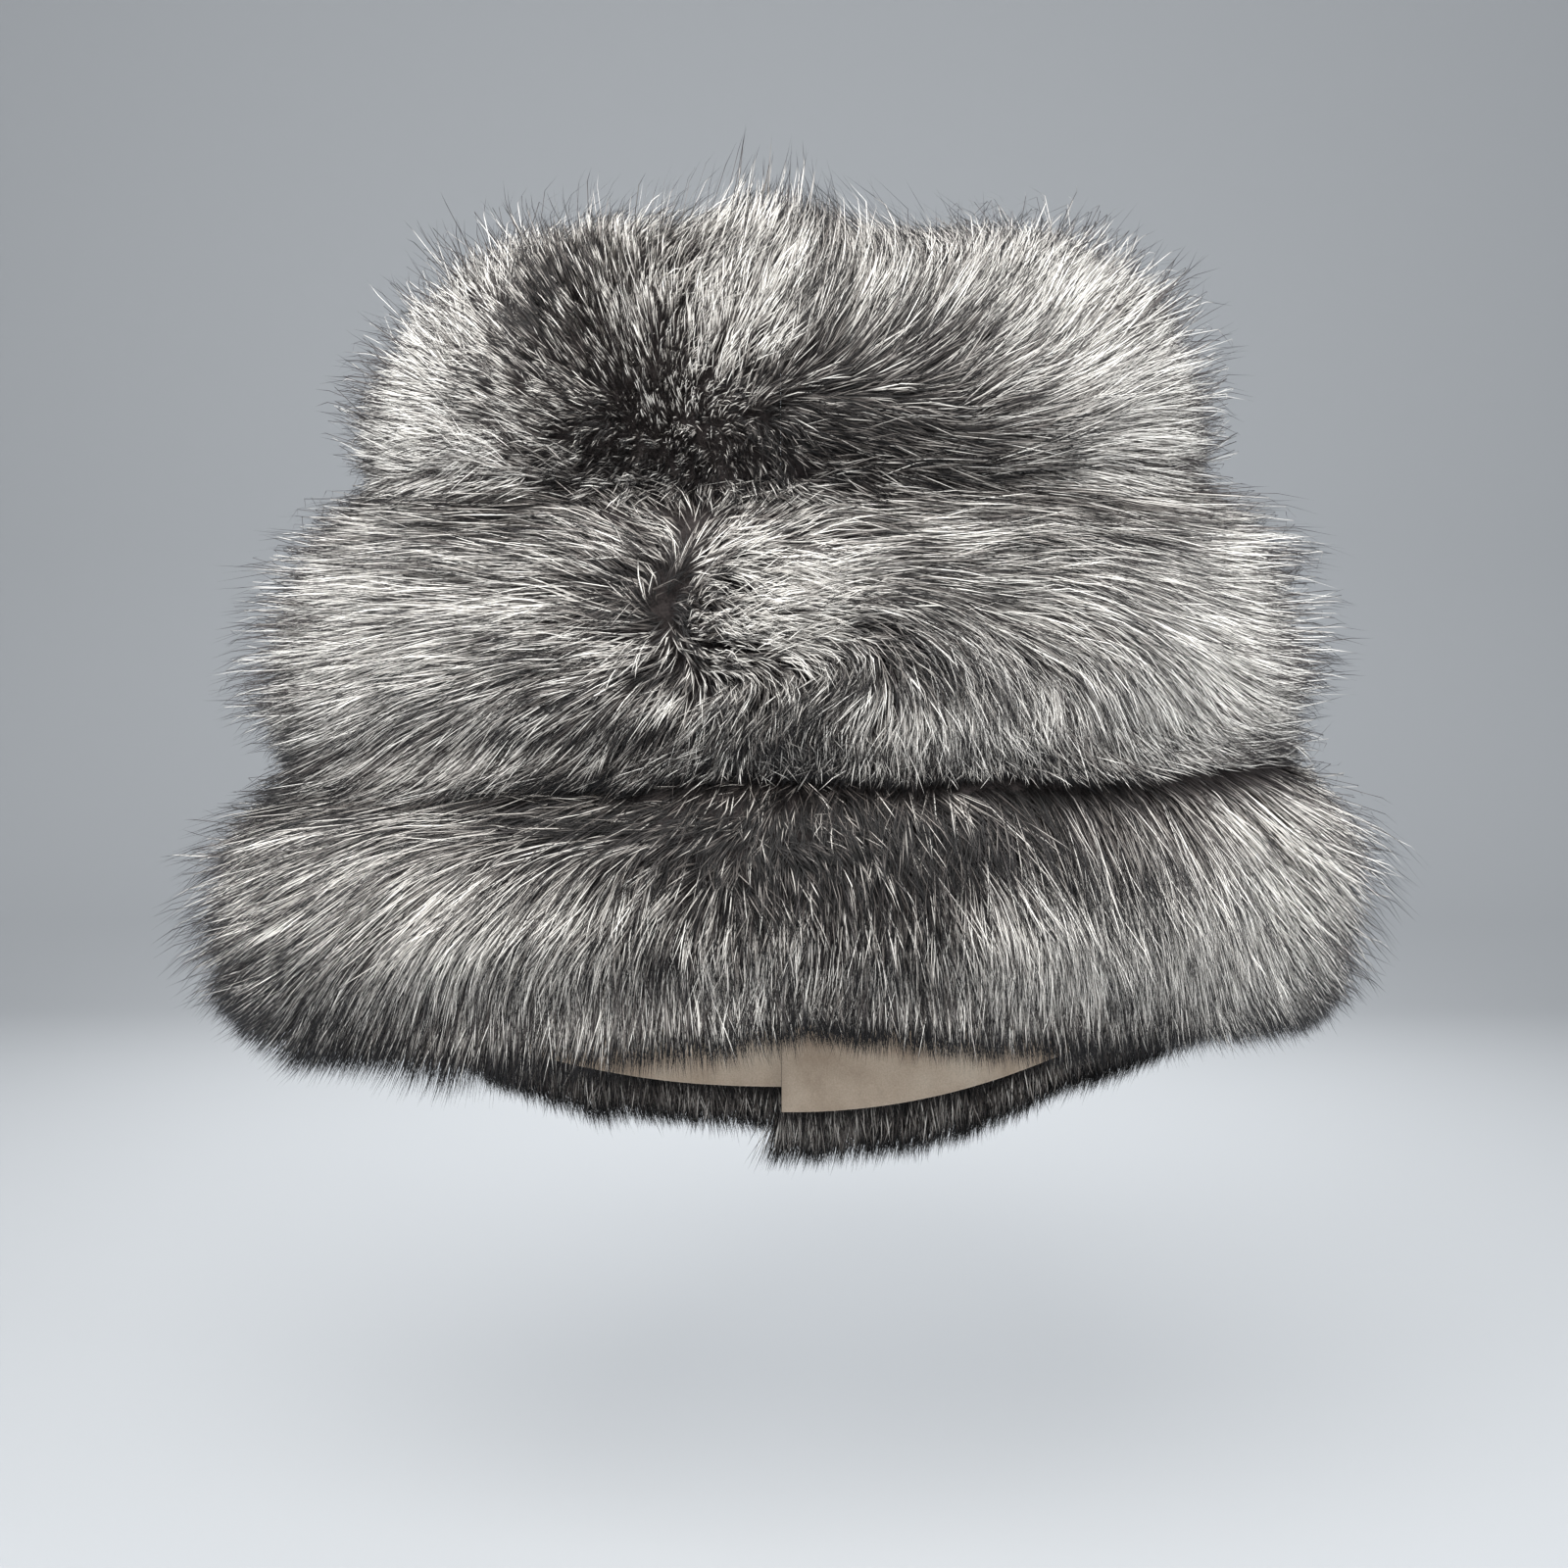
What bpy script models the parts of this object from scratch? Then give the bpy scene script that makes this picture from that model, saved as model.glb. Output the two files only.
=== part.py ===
"""Wrap cape in long-haired silver fox, as worn: three horizontal rows of fur.

Frame: metres, +Z up.  The origin is the middle of the shoulder line, where the
wearer carries the cape.  The front of the cape faces -Y, the wearer's left is +X.

Each row is two strips of pelt, a left and a right half, joined at the centre back
and closed edge to edge at the centre front.  A strip is one wall of dressed skin,
and the hair on it is one plain solid of its reach, just off the skin.
"""

import math

import bpy
from mathutils import Vector

# ---------------------------------------------------------------- driving sizes
SKIN = 0.002  # dressed skin
GAP = 0.0003  # between any two pieces
COLUMNS = 20  # steps of a half row, from centre back to centre front
SKIN_STEPS = 4  # steps of a strip from its top edge to its bottom edge
NECK_ROLL = 0.018  # hair standing above the neck edge
HEM_HANG = 0.046  # hair hanging below the hem edge

# Rings of the skin's hair side, one below the other.  "down" counts the rows:
# 0 neck edge, 1 first seam, 2 second seam, 3 hem edge.  left and right are the
# reach to the wearer's left (+X) and right (-X), back and front the reach along Y,
# and the z columns the ring's height at its back, at both sides and at the centre
# front of each half.
# square is the superellipse power: 2 is an ellipse, more is squarer.
RING_COLUMNS = (
    "down", "left", "right", "back", "front", "z_back",
    "z_left", "z_right", "z_front_left", "z_front_right", "square",
)  # fmt: skip
RINGS = (
    (0.00, 0.118, 0.120, 0.088, 0.112, 0.022, 0.026, 0.030, -0.135, -0.137, 2.0),
    (0.33, 0.184, 0.190, 0.122, 0.134, -0.006, 0.008, 0.014, -0.193, -0.196, 2.1),
    (0.66, 0.252, 0.256, 0.150, 0.152, -0.070, -0.050, -0.038, -0.254, -0.259, 2.2),
    (1.00, 0.302, 0.302, 0.168, 0.166, -0.163, -0.146, -0.142, -0.316, -0.324, 2.2),
    (1.50, 0.334, 0.334, 0.184, 0.182, -0.258, -0.252, -0.241, -0.408, -0.420, 2.2),
    (2.00, 0.358, 0.368, 0.196, 0.196, -0.350, -0.366, -0.340, -0.498, -0.514, 2.2),
    (2.50, 0.378, 0.387, 0.204, 0.206, -0.416, -0.454, -0.431, -0.582, -0.602, 2.2),
    (3.00, 0.390, 0.394, 0.208, 0.214, -0.478, -0.540, -0.520, -0.664, -0.688, 2.2),
)

# Rows: the hair's reach off the skin where the row is fullest.
ROW_COLUMNS = ("row", "reach_back", "reach_side", "reach_front")
ROWS = (
    ("top", 0.064, 0.066, 0.060),
    ("middle", 0.070, 0.074, 0.066),
    ("bottom", 0.074, 0.078, 0.070),
)

# Section of a row's hair.  along runs down the strip, 0 at its top edge and 1 at
# its bottom edge; out is a share of the reach.
SECTION_COLUMNS = ("along", "out")
SECTION = (
    (0.00, 0.26),
    (0.07, 0.58),
    (0.20, 0.86),
    (0.40, 1.00),
    (0.62, 1.00),
    (0.82, 0.88),
    (0.95, 0.62),
    (1.00, 0.38),
)
# The top row's hair stands above the neck edge, and the bottom row's hangs below
# the hem edge: there the section goes on beyond the edge, by a share of NECK_ROLL
# or HEM_HANG, and its last skin-side point is SKIN_SIDE of that share.
BEYOND_COLUMNS = ("beyond", "out")
NECK_SECTION = ((1.00, 0.10), (0.92, 0.42), (0.55, 0.66))
HEM_FULL = ((0.82, 0.92), (1.00, 0.74))  # the bottom row's own end of the section
HEM_SECTION = ((0.40, 0.58), (0.80, 0.34), (1.00, 0.10))
NECK_SKIN_SIDE = (0.55, 0.0)
HEM_SKIN_SIDE = (0.80, -0.06)

# Principled values: colour, roughness
SKIN_LOOK = ((0.62, 0.53, 0.44, 1.0), 0.85)
FUR_LOOK = {
    "top": ((0.17, 0.16, 0.16, 1.0), 0.55),
    "middle": ((0.20, 0.19, 0.19, 1.0), 0.55),
    "bottom": ((0.18, 0.17, 0.17, 1.0), 0.55),
}


# ---------------------------------------------------------------- the surface
def named(table, columns):
    return [dict(zip(columns, row)) for row in table]


RING = named(RINGS, RING_COLUMNS)


def between(key, down):
    """A ring column at any height, on one smooth curve through all the rings."""
    n = len(RING)
    k = max(i for i in range(n - 1) if RING[i]["down"] <= down or i == 0)
    x = [r["down"] for r in RING]
    y = [r[key] for r in RING]

    def slope(i):
        lo, hi = max(i - 1, 0), min(i + 1, n - 1)
        return (y[hi] - y[lo]) / (x[hi] - x[lo])

    h = x[k + 1] - x[k]
    t = (down - x[k]) / h
    return (
        (2 * t**3 - 3 * t**2 + 1) * y[k]
        + (t**3 - 2 * t**2 + t) * h * slope(k)
        + (-2 * t**3 + 3 * t**2) * y[k + 1]
        + (t**3 - t**2) * h * slope(k + 1)
    )


def even_angles(steps=720):
    """Angles from centre back to centre front at even steps along a middle ring."""
    a, b = 0.345, 0.190
    total, run = 0.0, [0.0]
    for i in range(steps):
        t = math.pi * (i + 0.5) / steps
        total += math.hypot(a * math.cos(t), b * math.sin(t)) * math.pi / steps
        run.append(total)
    return [r / total for r in run]


RUN = even_angles()


def angle(f):
    """f is 0 at the centre back and 1 at the centre front."""
    f = min(max(f, 0.0), 1.0)
    k = max(i for i in range(len(RUN) - 1) if RUN[i] <= f)
    part = (f - RUN[k]) / (RUN[k + 1] - RUN[k])
    return math.pi * (k + part) / (len(RUN) - 1)


def power(value, p):
    return math.copysign(abs(value) ** p, value)


def surface(turn, down, side):
    """Point of the skin's hair side; turn is the angle, side +1 left or -1 right."""
    reach = between("left" if side > 0 else "right", down)
    p = 2.0 / between("square", down)
    s, c = math.sin(turn), math.cos(turn)
    depth = between("back" if c > 0 else "front", down)
    z_side = between("z_left" if side > 0 else "z_right", down)
    front = "z_front_left" if side > 0 else "z_front_right"
    z_end = between("z_back" if c > 0 else front, down)
    ease = s * s
    return Vector(
        (
            side * reach * power(s, p),
            depth * power(c, p),
            z_end + (z_side - z_end) * ease,
        )
    )


def frame_at(f, down, side):
    """Point, outward normal and downward direction of the skin's hair side."""
    turn, d = angle(f), 0.004
    lo, hi = max(down - d, 0.0), min(down + d, 3.0)
    t_down = (surface(turn, hi, side) - surface(turn, lo, side)).normalized()
    a, b = turn - 0.02, turn + 0.02
    t_round = (surface(b, down, side) - surface(a, down, side)).normalized()
    if f <= 0.0 or f >= 1.0:
        t_round = Vector((side * (1.0 if f <= 0.0 else -1.0), 0.0, 0.0))
    normal = (t_round.cross(t_down) * side).normalized()
    return surface(turn, down, side), normal, t_down


def place(f, down, side, out=0.0, beyond=0.0):
    """A point off the skin: out along the normal, beyond an edge along the strip."""
    point, normal, t_down = frame_at(f, down, side)
    point = point + normal * out + t_down * beyond
    edge = GAP / 2
    if f <= 0.0 or f >= 1.0:
        point.x = side * edge
    elif point.x * side < edge:
        point.x = side * edge
    return point


# ---------------------------------------------------------------- the pieces
def material(name, look):
    m = bpy.data.materials.new(name)
    m.use_nodes = True
    bsdf = m.node_tree.nodes["Principled BSDF"]
    bsdf.inputs["Base Color"].default_value = look[0]
    bsdf.inputs["Roughness"].default_value = look[1]
    bsdf.inputs["Metallic"].default_value = 0.0
    m.diffuse_color = look[0]
    return m


def add_object(name, points, faces, look, collection):
    mesh = bpy.data.meshes.new(name)
    mesh.from_pydata([tuple(p) for p in points], [], faces)
    mesh.shade_smooth()
    mesh.materials.append(material(name, look))
    obj = bpy.data.objects.new(name, mesh)
    collection.objects.link(obj)
    return obj


def oriented(faces, side):
    return [tuple(reversed(f)) for f in faces] if side > 0 else faces


def pelt(row, name, side, collection):
    """The strip of skin: an open lofted sheet, thickened inwards."""
    points, faces = [], []
    edge = GAP / 2
    wide = SKIN_STEPS + 1
    for i in range(COLUMNS + 1):
        f = i / COLUMNS
        for j in range(wide):
            down = row + j / SKIN_STEPS
            beyond = edge if j == 0 and row > 0 else -edge if j == SKIN_STEPS else 0.0
            points.append(place(f, down, side, 0.0, beyond))
    for i in range(COLUMNS):
        for j in range(SKIN_STEPS):
            a, b = i * wide + j, i * wide + j + 1
            c, d = b + wide, a + wide
            faces += [(a, b, c), (a, c, d)]
    obj = add_object(name, points, oriented(faces, side), SKIN_LOOK, collection)
    wall = obj.modifiers.new("wall", "SOLIDIFY")
    wall.thickness = SKIN
    wall.offset = -1.0
    wall.use_even_offset = True
    return obj


def fur_section(row):
    """Outline of a row's hair as (down, beyond, share of reach), skin side first."""
    skin = [(row + j / SKIN_STEPS, 0.0, 0.0) for j in range(SKIN_STEPS + 1)]
    rim = [(row + along, 0.0, out) for along, out in SECTION]
    edge = GAP / 2
    if row > 0:
        skin[0] = (row, edge, 0.0)
        rim[0] = (row, edge, SECTION[0][1])
    else:
        beyond, out = NECK_SKIN_SIDE
        skin = [(0.0, -NECK_ROLL * beyond, out)] + skin
        rim = [(0.0, -NECK_ROLL * b, out) for b, out in NECK_SECTION] + rim[1:]
    if row < 2:
        skin[-1] = (row + 1.0, -edge, 0.0)
        rim[-1] = (row + 1.0, -edge, SECTION[-1][1])
    else:
        beyond, out = HEM_SKIN_SIDE
        skin = skin + [(3.0, HEM_HANG * beyond, out)]
        rim = rim[:5] + [(row + along, 0.0, out) for along, out in HEM_FULL]
        rim += [(3.0, HEM_HANG * b, out) for b, out in HEM_SECTION]
    return skin, rim


def reach(row, f, side):
    """Full reach of a row's hair, eased from the back over the side to the front."""
    r = dict(zip(ROW_COLUMNS, ROWS[row]))
    t = angle(f)
    end = r["reach_back"] if t < math.pi / 2 else r["reach_front"]
    return end + (r["reach_side"] - end) * math.sin(t) ** 2


def fur(row, name, side, collection):
    """The plain solid of the hair's reach: one closed section lofted round."""
    skin, rim = fur_section(row)
    ring = skin + rim[::-1]
    n = len(ring)
    points, faces = [], []
    for i in range(COLUMNS + 1):
        f = i / COLUMNS
        full = reach(row, f, side)
        for down, beyond, share in ring:
            points.append(place(f, down, side, GAP + share * full, beyond))
    for i in range(COLUMNS):
        for j in range(n):
            a, b = i * n + j, i * n + (j + 1) % n
            c, d = b + n, a + n
            faces += [(a, b, c), (a, c, d)]
    # end faces, fanned between the skin side and the rim
    for i, flip in ((0, False), (COLUMNS, True)):
        base = i * n
        lo, hi = 0, n - 1
        while hi - lo >= 2:
            one = (base + hi, base + lo + 1, base + lo)
            lo += 1
            faces.append(one[::-1] if flip else one)
            if hi - lo >= 2:
                two = (base + hi, base + hi - 1, base + lo)
                hi -= 1
                faces.append(two[::-1] if flip else two)
    if side < 0:
        faces = [tuple(reversed(f)) for f in faces]
    return add_object(name, points, faces, FUR_LOOK[ROWS[row][0]], collection)


def main():
    for obj in list(bpy.data.objects):
        bpy.data.objects.remove(obj, do_unlink=True)
    collection = bpy.data.collections.new("wrap_cape")
    bpy.context.scene.collection.children.link(collection)
    for row, spec in enumerate(ROWS):
        for side, word in ((1, "left"), (-1, "right")):
            pelt(row, f"pelt_{spec[0]}_{word}", side, collection)
            fur(row, f"fur_{spec[0]}_{word}", side, collection)


main()
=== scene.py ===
"""Looks of the wrap cape: long silver fox hair in three rows, on dressed skin.

Metres, +Z up, origin in the middle of the shoulder line, front towards -Y.
q runs round a half row: 0 centre back, +1 centre front by the wearer's left,
-1 centre front by the wearer's right.  along runs down a row, 0 to 1, and down
counts the rows from the neck edge (0) to the hem edge (3).
Hair directions are angles in the skin: 0 towards the wearer's left, 90 down,
180 towards the wearer's right, -90 up.
"""

import math

import bpy
import numpy as np
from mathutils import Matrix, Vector


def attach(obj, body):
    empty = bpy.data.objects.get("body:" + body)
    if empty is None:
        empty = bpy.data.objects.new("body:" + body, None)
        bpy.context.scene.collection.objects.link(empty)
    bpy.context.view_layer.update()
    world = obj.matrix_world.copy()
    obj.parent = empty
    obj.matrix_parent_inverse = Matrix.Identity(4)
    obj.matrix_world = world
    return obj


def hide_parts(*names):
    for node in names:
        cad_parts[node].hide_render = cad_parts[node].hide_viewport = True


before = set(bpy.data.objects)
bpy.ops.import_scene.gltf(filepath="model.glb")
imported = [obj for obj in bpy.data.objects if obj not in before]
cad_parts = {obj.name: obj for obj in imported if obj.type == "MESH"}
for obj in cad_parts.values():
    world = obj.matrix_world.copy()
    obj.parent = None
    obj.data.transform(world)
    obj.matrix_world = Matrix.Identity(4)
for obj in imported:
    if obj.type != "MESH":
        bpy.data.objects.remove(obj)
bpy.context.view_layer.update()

# ---------------------------------------------------------------- sizes of the cape
GAP = 0.0003
SKIN = 0.002
NECK_ROLL = 0.018
HEM_HANG = 0.046
RING_COLUMNS = (
    "down", "left", "right", "back", "front", "z_back",
    "z_left", "z_right", "z_front_left", "z_front_right", "square",
)  # fmt: skip
RINGS = np.array(
    (
        (0.00, 0.118, 0.120, 0.088, 0.112, 0.022, 0.026, 0.030, -0.135, -0.137, 2.0),
        (0.33, 0.184, 0.190, 0.122, 0.134, -0.006, 0.008, 0.014, -0.193, -0.196, 2.1),
        (0.66, 0.252, 0.256, 0.150, 0.152, -0.070, -0.050, -0.038, -0.254, -0.259, 2.2),
        (1.00, 0.302, 0.302, 0.168, 0.166, -0.163, -0.146, -0.142, -0.316, -0.324, 2.2),
        (1.50, 0.334, 0.334, 0.184, 0.182, -0.258, -0.252, -0.241, -0.408, -0.420, 2.2),
        (2.00, 0.358, 0.368, 0.196, 0.196, -0.350, -0.366, -0.340, -0.498, -0.514, 2.2),
        (2.50, 0.378, 0.387, 0.204, 0.206, -0.416, -0.454, -0.431, -0.582, -0.602, 2.2),
        (3.00, 0.390, 0.394, 0.208, 0.214, -0.478, -0.540, -0.520, -0.664, -0.688, 2.2),
    )
)
ROWS = ("top", "middle", "bottom")
REACH = np.array(((0.064, 0.066, 0.060), (0.070, 0.074, 0.066), (0.074, 0.078, 0.070)))
SECTION = np.array(
    ((0.00, 0.26), (0.07, 0.58), (0.20, 0.86), (0.40, 1.00), (0.62, 1.00), (0.82, 0.88), (0.95, 0.62), (1.00, 0.38))
)
HEM_SECTION = np.array(((0.62, 1.00), (0.82, 0.92), (1.00, 0.74)))
GIRTH = (0.62, 0.80, 0.88)  # half way round each row's skin, for distances in q
DEPTH = (0.215, 0.225, 0.225)  # down each row's skin, for distances in along

# ---------------------------------------------------------------- how the hair lies
# row, q, along, direction, lift (0 lies flat, 1 stands), length share, mess
GUIDES = (
    # top row, back
    (0, 0.38, 0.87, -2, 0.3, 1.0, 0.1),
    (0, 0.315, 0.97, 7, 0.3, 1.0, 0.1),
    (0, 0.365, 1.0, 10, 0.3, 1.0, 0.1),
    (0, 0.24, 0.92, 1, 0.3, 1.0, 0.15),
    (0, 0.19, 1.0, 6, 0.4, 0.9, 0.3),
    (0, 0.37, 0.75, -14, 0.3, 1.0, 0.1),
    (0, 0.35, 0.65, -24, 0.3, 1.0, 0.1),
    (0, 0.355, 0.53, -29, 0.3, 1.0, 0.1),
    (0, 0.305, 0.47, -82, 0.4, 0.9, 0.25),
    (0, 0.26, 0.42, -104, 0.4, 0.9, 0.2),
    (0, 0.235, 0.63, -74, 0.6, 0.6, 0.5),
    (0, 0.255, 0.73, -33, 0.5, 0.7, 0.4),
    (0, 0.19, 0.6, -108, 0.6, 0.6, 0.5),
    (0, 0.175, 0.45, -128, 0.3, 0.9, 0.2),
    (0, 0.175, 0.32, -146, 0.3, 1.0, 0.15),
    (0, 0.11, 0.3, -158, 0.3, 1.0, 0.1),
    (0, 0.065, 0.35, -138, 0.3, 1.0, 0.1),
    (0, 0.09, 0.5, -143, 0.3, 1.0, 0.15),
    (0, 0.06, 0.65, -140, 0.3, 0.9, 0.2),
    (0, 0.12, 0.68, -138, 0.5, 0.7, 0.4),
    (0, 0.04, 0.22, -98, 0.5, 1.0, 0.1),
    (0, 0.035, 0.5, -122, 0.3, 1.0, 0.1),
    (0, 0.01, 0.67, -138, 0.3, 0.9, 0.15),
    (0, -0.015, 0.6, -128, 0.3, 1.0, 0.1),
    (0, -0.10, 0.18, -50, 0.3, 1.0, 0.1),
    (0, -0.17, 0.18, -52, 0.3, 1.0, 0.1),
    (0, -0.135, 0.28, -76, 0.3, 1.0, 0.1),
    (0, -0.05, 0.45, -122, 0.3, 1.0, 0.1),
    (0, -0.085, 0.65, -132, 0.3, 1.0, 0.1),
    (0, -0.13, 0.62, -138, 0.3, 1.0, 0.1),
    (0, -0.16, 0.77, -148, 0.3, 1.0, 0.1),
    (0, -0.225, 0.63, -146, 0.3, 1.0, 0.1),
    (0, -0.285, 0.67, -143, 0.3, 1.0, 0.1),
    (0, -0.335, 0.7, -157, 0.3, 1.0, 0.1),
    (0, -0.38, 0.73, -164, 0.3, 1.0, 0.1),
    (0, -0.365, 0.87, 178, 0.3, 1.0, 0.1),
    (0, -0.26, 0.82, -166, 0.3, 1.0, 0.1),
    (0, -0.2, 0.9, 170, 0.3, 1.0, 0.1),
    (0, -0.305, 0.98, 152, 0.3, 1.0, 0.1),
    (0, -0.375, 0.98, 168, 0.3, 1.0, 0.1),
    (0, -0.155, 0.97, 173, 0.3, 1.0, 0.15),
    (0, -0.075, 0.95, 177, 0.35, 1.0, 0.2),
    (0, -0.035, 0.88, 164, 0.4, 0.9, 0.3),
    (0, -0.115, 0.85, 152, 0.4, 0.9, 0.2),
    (0, 0.07, 0.95, 75, 0.7, 0.55, 0.9),
    (0, 0.115, 0.97, 27, 0.6, 0.6, 0.7),
    (0, 0.015, 0.95, 125, 0.6, 0.6, 0.7),
    (0, 0.2, 0.77, -7, 0.6, 0.6, 0.5),
    (0, 0.17, 0.67, -118, 0.7, 0.6, 0.5),
    (0, 0.115, 0.77, -145, 0.7, 0.6, 0.6),
    (0, 0.15, 0.85, 64, 0.7, 0.6, 0.7),
    # top row, neck edge, sides and front: not seen, combed plainly
    (0, 0.0, 0.05, -90, 0.6, 0.8, 0.1),
    (0, 0.2, 0.08, -112, 0.5, 0.8, 0.1),
    (0, -0.2, 0.08, -95, 0.5, 0.8, 0.1),
    (0, 0.36, 0.1, -95, 0.4, 0.9, 0.1),
    (0, -0.36, 0.1, -130, 0.4, 0.9, 0.1),
    (0, 0.5, 0.15, -15, 0.4, 1.0, 0.1),
    (0, 0.5, 0.5, -4, 0.3, 1.0, 0.1),
    (0, 0.5, 0.85, 4, 0.3, 1.0, 0.1),
    (0, 0.63, 0.15, 12, 0.4, 1.0, 0.1),
    (0, 0.63, 0.5, 18, 0.3, 1.0, 0.1),
    (0, 0.63, 0.85, 24, 0.3, 1.0, 0.1),
    (0, 0.76, 0.2, 35, 0.4, 1.0, 0.1),
    (0, 0.76, 0.6, 40, 0.3, 1.0, 0.1),
    (0, 0.76, 0.9, 45, 0.3, 1.0, 0.1),
    (0, 0.9, 0.2, 55, 0.4, 1.0, 0.1),
    (0, 0.9, 0.6, 60, 0.3, 1.0, 0.1),
    (0, 0.9, 0.9, 65, 0.3, 1.0, 0.1),
    (0, 1.0, 0.5, 74, 0.3, 1.0, 0.1),
    (0, -0.5, 0.15, -165, 0.4, 1.0, 0.1),
    (0, -0.5, 0.5, -176, 0.3, 1.0, 0.1),
    (0, -0.5, 0.85, 176, 0.3, 1.0, 0.1),
    (0, -0.63, 0.15, 168, 0.4, 1.0, 0.1),
    (0, -0.63, 0.5, 162, 0.3, 1.0, 0.1),
    (0, -0.63, 0.85, 156, 0.3, 1.0, 0.1),
    (0, -0.76, 0.2, 145, 0.4, 1.0, 0.1),
    (0, -0.76, 0.6, 140, 0.3, 1.0, 0.1),
    (0, -0.76, 0.9, 135, 0.3, 1.0, 0.1),
    (0, -0.9, 0.2, 125, 0.4, 1.0, 0.1),
    (0, -0.9, 0.6, 120, 0.3, 1.0, 0.1),
    (0, -0.9, 0.9, 115, 0.3, 1.0, 0.1),
    (0, -1.0, 0.5, 106, 0.3, 1.0, 0.1),
    # middle row, back
    (1, 0.36, 0.43, 3, 0.3, 1.0, 0.05),
    (1, 0.28, 0.35, -3, 0.3, 1.0, 0.05),
    (1, 0.205, 0.27, -4, 0.3, 1.0, 0.1),
    (1, 0.265, 0.6, 13, 0.3, 1.0, 0.05),
    (1, 0.355, 0.67, 16, 0.3, 1.0, 0.05),
    (1, 0.305, 0.83, 36, 0.3, 1.0, 0.05),
    (1, 0.19, 0.53, 10, 0.3, 1.0, 0.1),
    (1, 0.19, 0.87, 54, 0.3, 1.0, 0.1),
    (1, 0.13, 0.27, -26, 0.4, 0.9, 0.15),
    (1, 0.1, 0.15, -39, 0.4, 0.9, 0.2),
    (1, 0.12, 0.53, 10, 0.4, 0.9, 0.15),
    (1, 0.085, 0.68, 52, 0.4, 0.9, 0.2),
    (1, 0.085, 0.9, 65, 0.3, 1.0, 0.15),
    (1, 0.045, 0.27, -154, 0.5, 0.8, 0.3),
    (1, 0.015, 0.12, -137, 0.4, 0.8, 0.2),
    (1, 0.015, 0.37, 178, 0.4, 0.9, 0.2),
    (1, -0.02, 0.27, 175, 0.3, 1.0, 0.1),
    (1, 0.035, 0.57, 178, 0.6, 0.7, 0.4),
    (1, 0.03, 0.85, 68, 0.3, 1.0, 0.2),
    (1, 0.0, 0.98, 92, 0.3, 1.0, 0.15),
    (1, -0.01, 0.53, 178, 0.5, 0.8, 0.3),
    (1, -0.035, 0.72, 56, 0.5, 0.9, 0.3),
    (1, 0.0, 0.82, 58, 0.4, 0.9, 0.25),
    (1, -0.065, 0.27, 179, 0.3, 1.0, 0.1),
    (1, -0.12, 0.27, -177, 0.3, 1.0, 0.1),
    (1, -0.165, 0.35, -174, 0.3, 1.0, 0.1),
    (1, -0.195, 0.5, 148, 0.3, 1.0, 0.1),
    (1, -0.095, 0.47, 158, 0.4, 1.0, 0.15),
    (1, -0.125, 0.62, 112, 0.3, 1.0, 0.1),
    (1, -0.12, 0.8, 84, 0.3, 1.0, 0.1),
    (1, -0.175, 0.82, 84, 0.3, 1.0, 0.1),
    (1, -0.065, 0.87, 78, 0.3, 1.0, 0.15),
    (1, -0.25, 0.3, 151, 0.3, 1.0, 0.1),
    (1, -0.28, 0.45, 140, 0.3, 1.0, 0.05),
    (1, -0.34, 0.62, 136, 0.3, 1.0, 0.05),
    (1, -0.305, 0.77, 116, 0.3, 1.0, 0.05),
    (1, -0.225, 0.72, 100, 0.3, 1.0, 0.1),
    (1, -0.265, 0.9, 104, 0.3, 1.0, 0.1),
    (1, -0.38, 0.67, 168, 0.3, 1.0, 0.05),
    (1, -0.41, 0.85, 169, 0.3, 1.0, 0.05),
    (1, -0.37, 0.33, 173, 0.3, 1.0, 0.05),
    (1, 0.365, 0.22, 0, 0.3, 1.0, 0.05),
    # middle row, sides and front
    (1, 0.5, 0.2, 0, 0.3, 1.0, 0.1),
    (1, 0.5, 0.5, 8, 0.3, 1.0, 0.1),
    (1, 0.5, 0.85, 20, 0.3, 1.0, 0.1),
    (1, 0.63, 0.2, 16, 0.3, 1.0, 0.1),
    (1, 0.63, 0.5, 25, 0.3, 1.0, 0.1),
    (1, 0.63, 0.85, 36, 0.3, 1.0, 0.1),
    (1, 0.76, 0.3, 42, 0.3, 1.0, 0.1),
    (1, 0.76, 0.8, 54, 0.3, 1.0, 0.1),
    (1, 0.9, 0.3, 64, 0.3, 1.0, 0.1),
    (1, 0.9, 0.8, 72, 0.3, 1.0, 0.1),
    (1, 1.0, 0.5, 80, 0.3, 1.0, 0.1),
    (1, -0.5, 0.2, 180, 0.3, 1.0, 0.1),
    (1, -0.5, 0.5, 172, 0.3, 1.0, 0.1),
    (1, -0.5, 0.85, 160, 0.3, 1.0, 0.1),
    (1, -0.63, 0.2, 164, 0.3, 1.0, 0.1),
    (1, -0.63, 0.5, 155, 0.3, 1.0, 0.1),
    (1, -0.63, 0.85, 144, 0.3, 1.0, 0.1),
    (1, -0.76, 0.3, 138, 0.3, 1.0, 0.1),
    (1, -0.76, 0.8, 126, 0.3, 1.0, 0.1),
    (1, -0.9, 0.3, 116, 0.3, 1.0, 0.1),
    (1, -0.9, 0.8, 108, 0.3, 1.0, 0.1),
    (1, -1.0, 0.5, 100, 0.3, 1.0, 0.1),
    # bottom row, back
    (2, 0.31, 0.17, 12, 0.3, 1.0, 0.05),
    (2, 0.21, 0.23, 8, 0.3, 1.0, 0.1),
    (2, 0.135, 0.25, 3, 0.3, 1.0, 0.1),
    (2, 0.08, 0.3, 1, 0.4, 0.9, 0.2),
    (2, 0.33, 0.38, 30, 0.3, 1.0, 0.05),
    (2, 0.355, 0.62, 28, 0.3, 1.0, 0.05),
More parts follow.
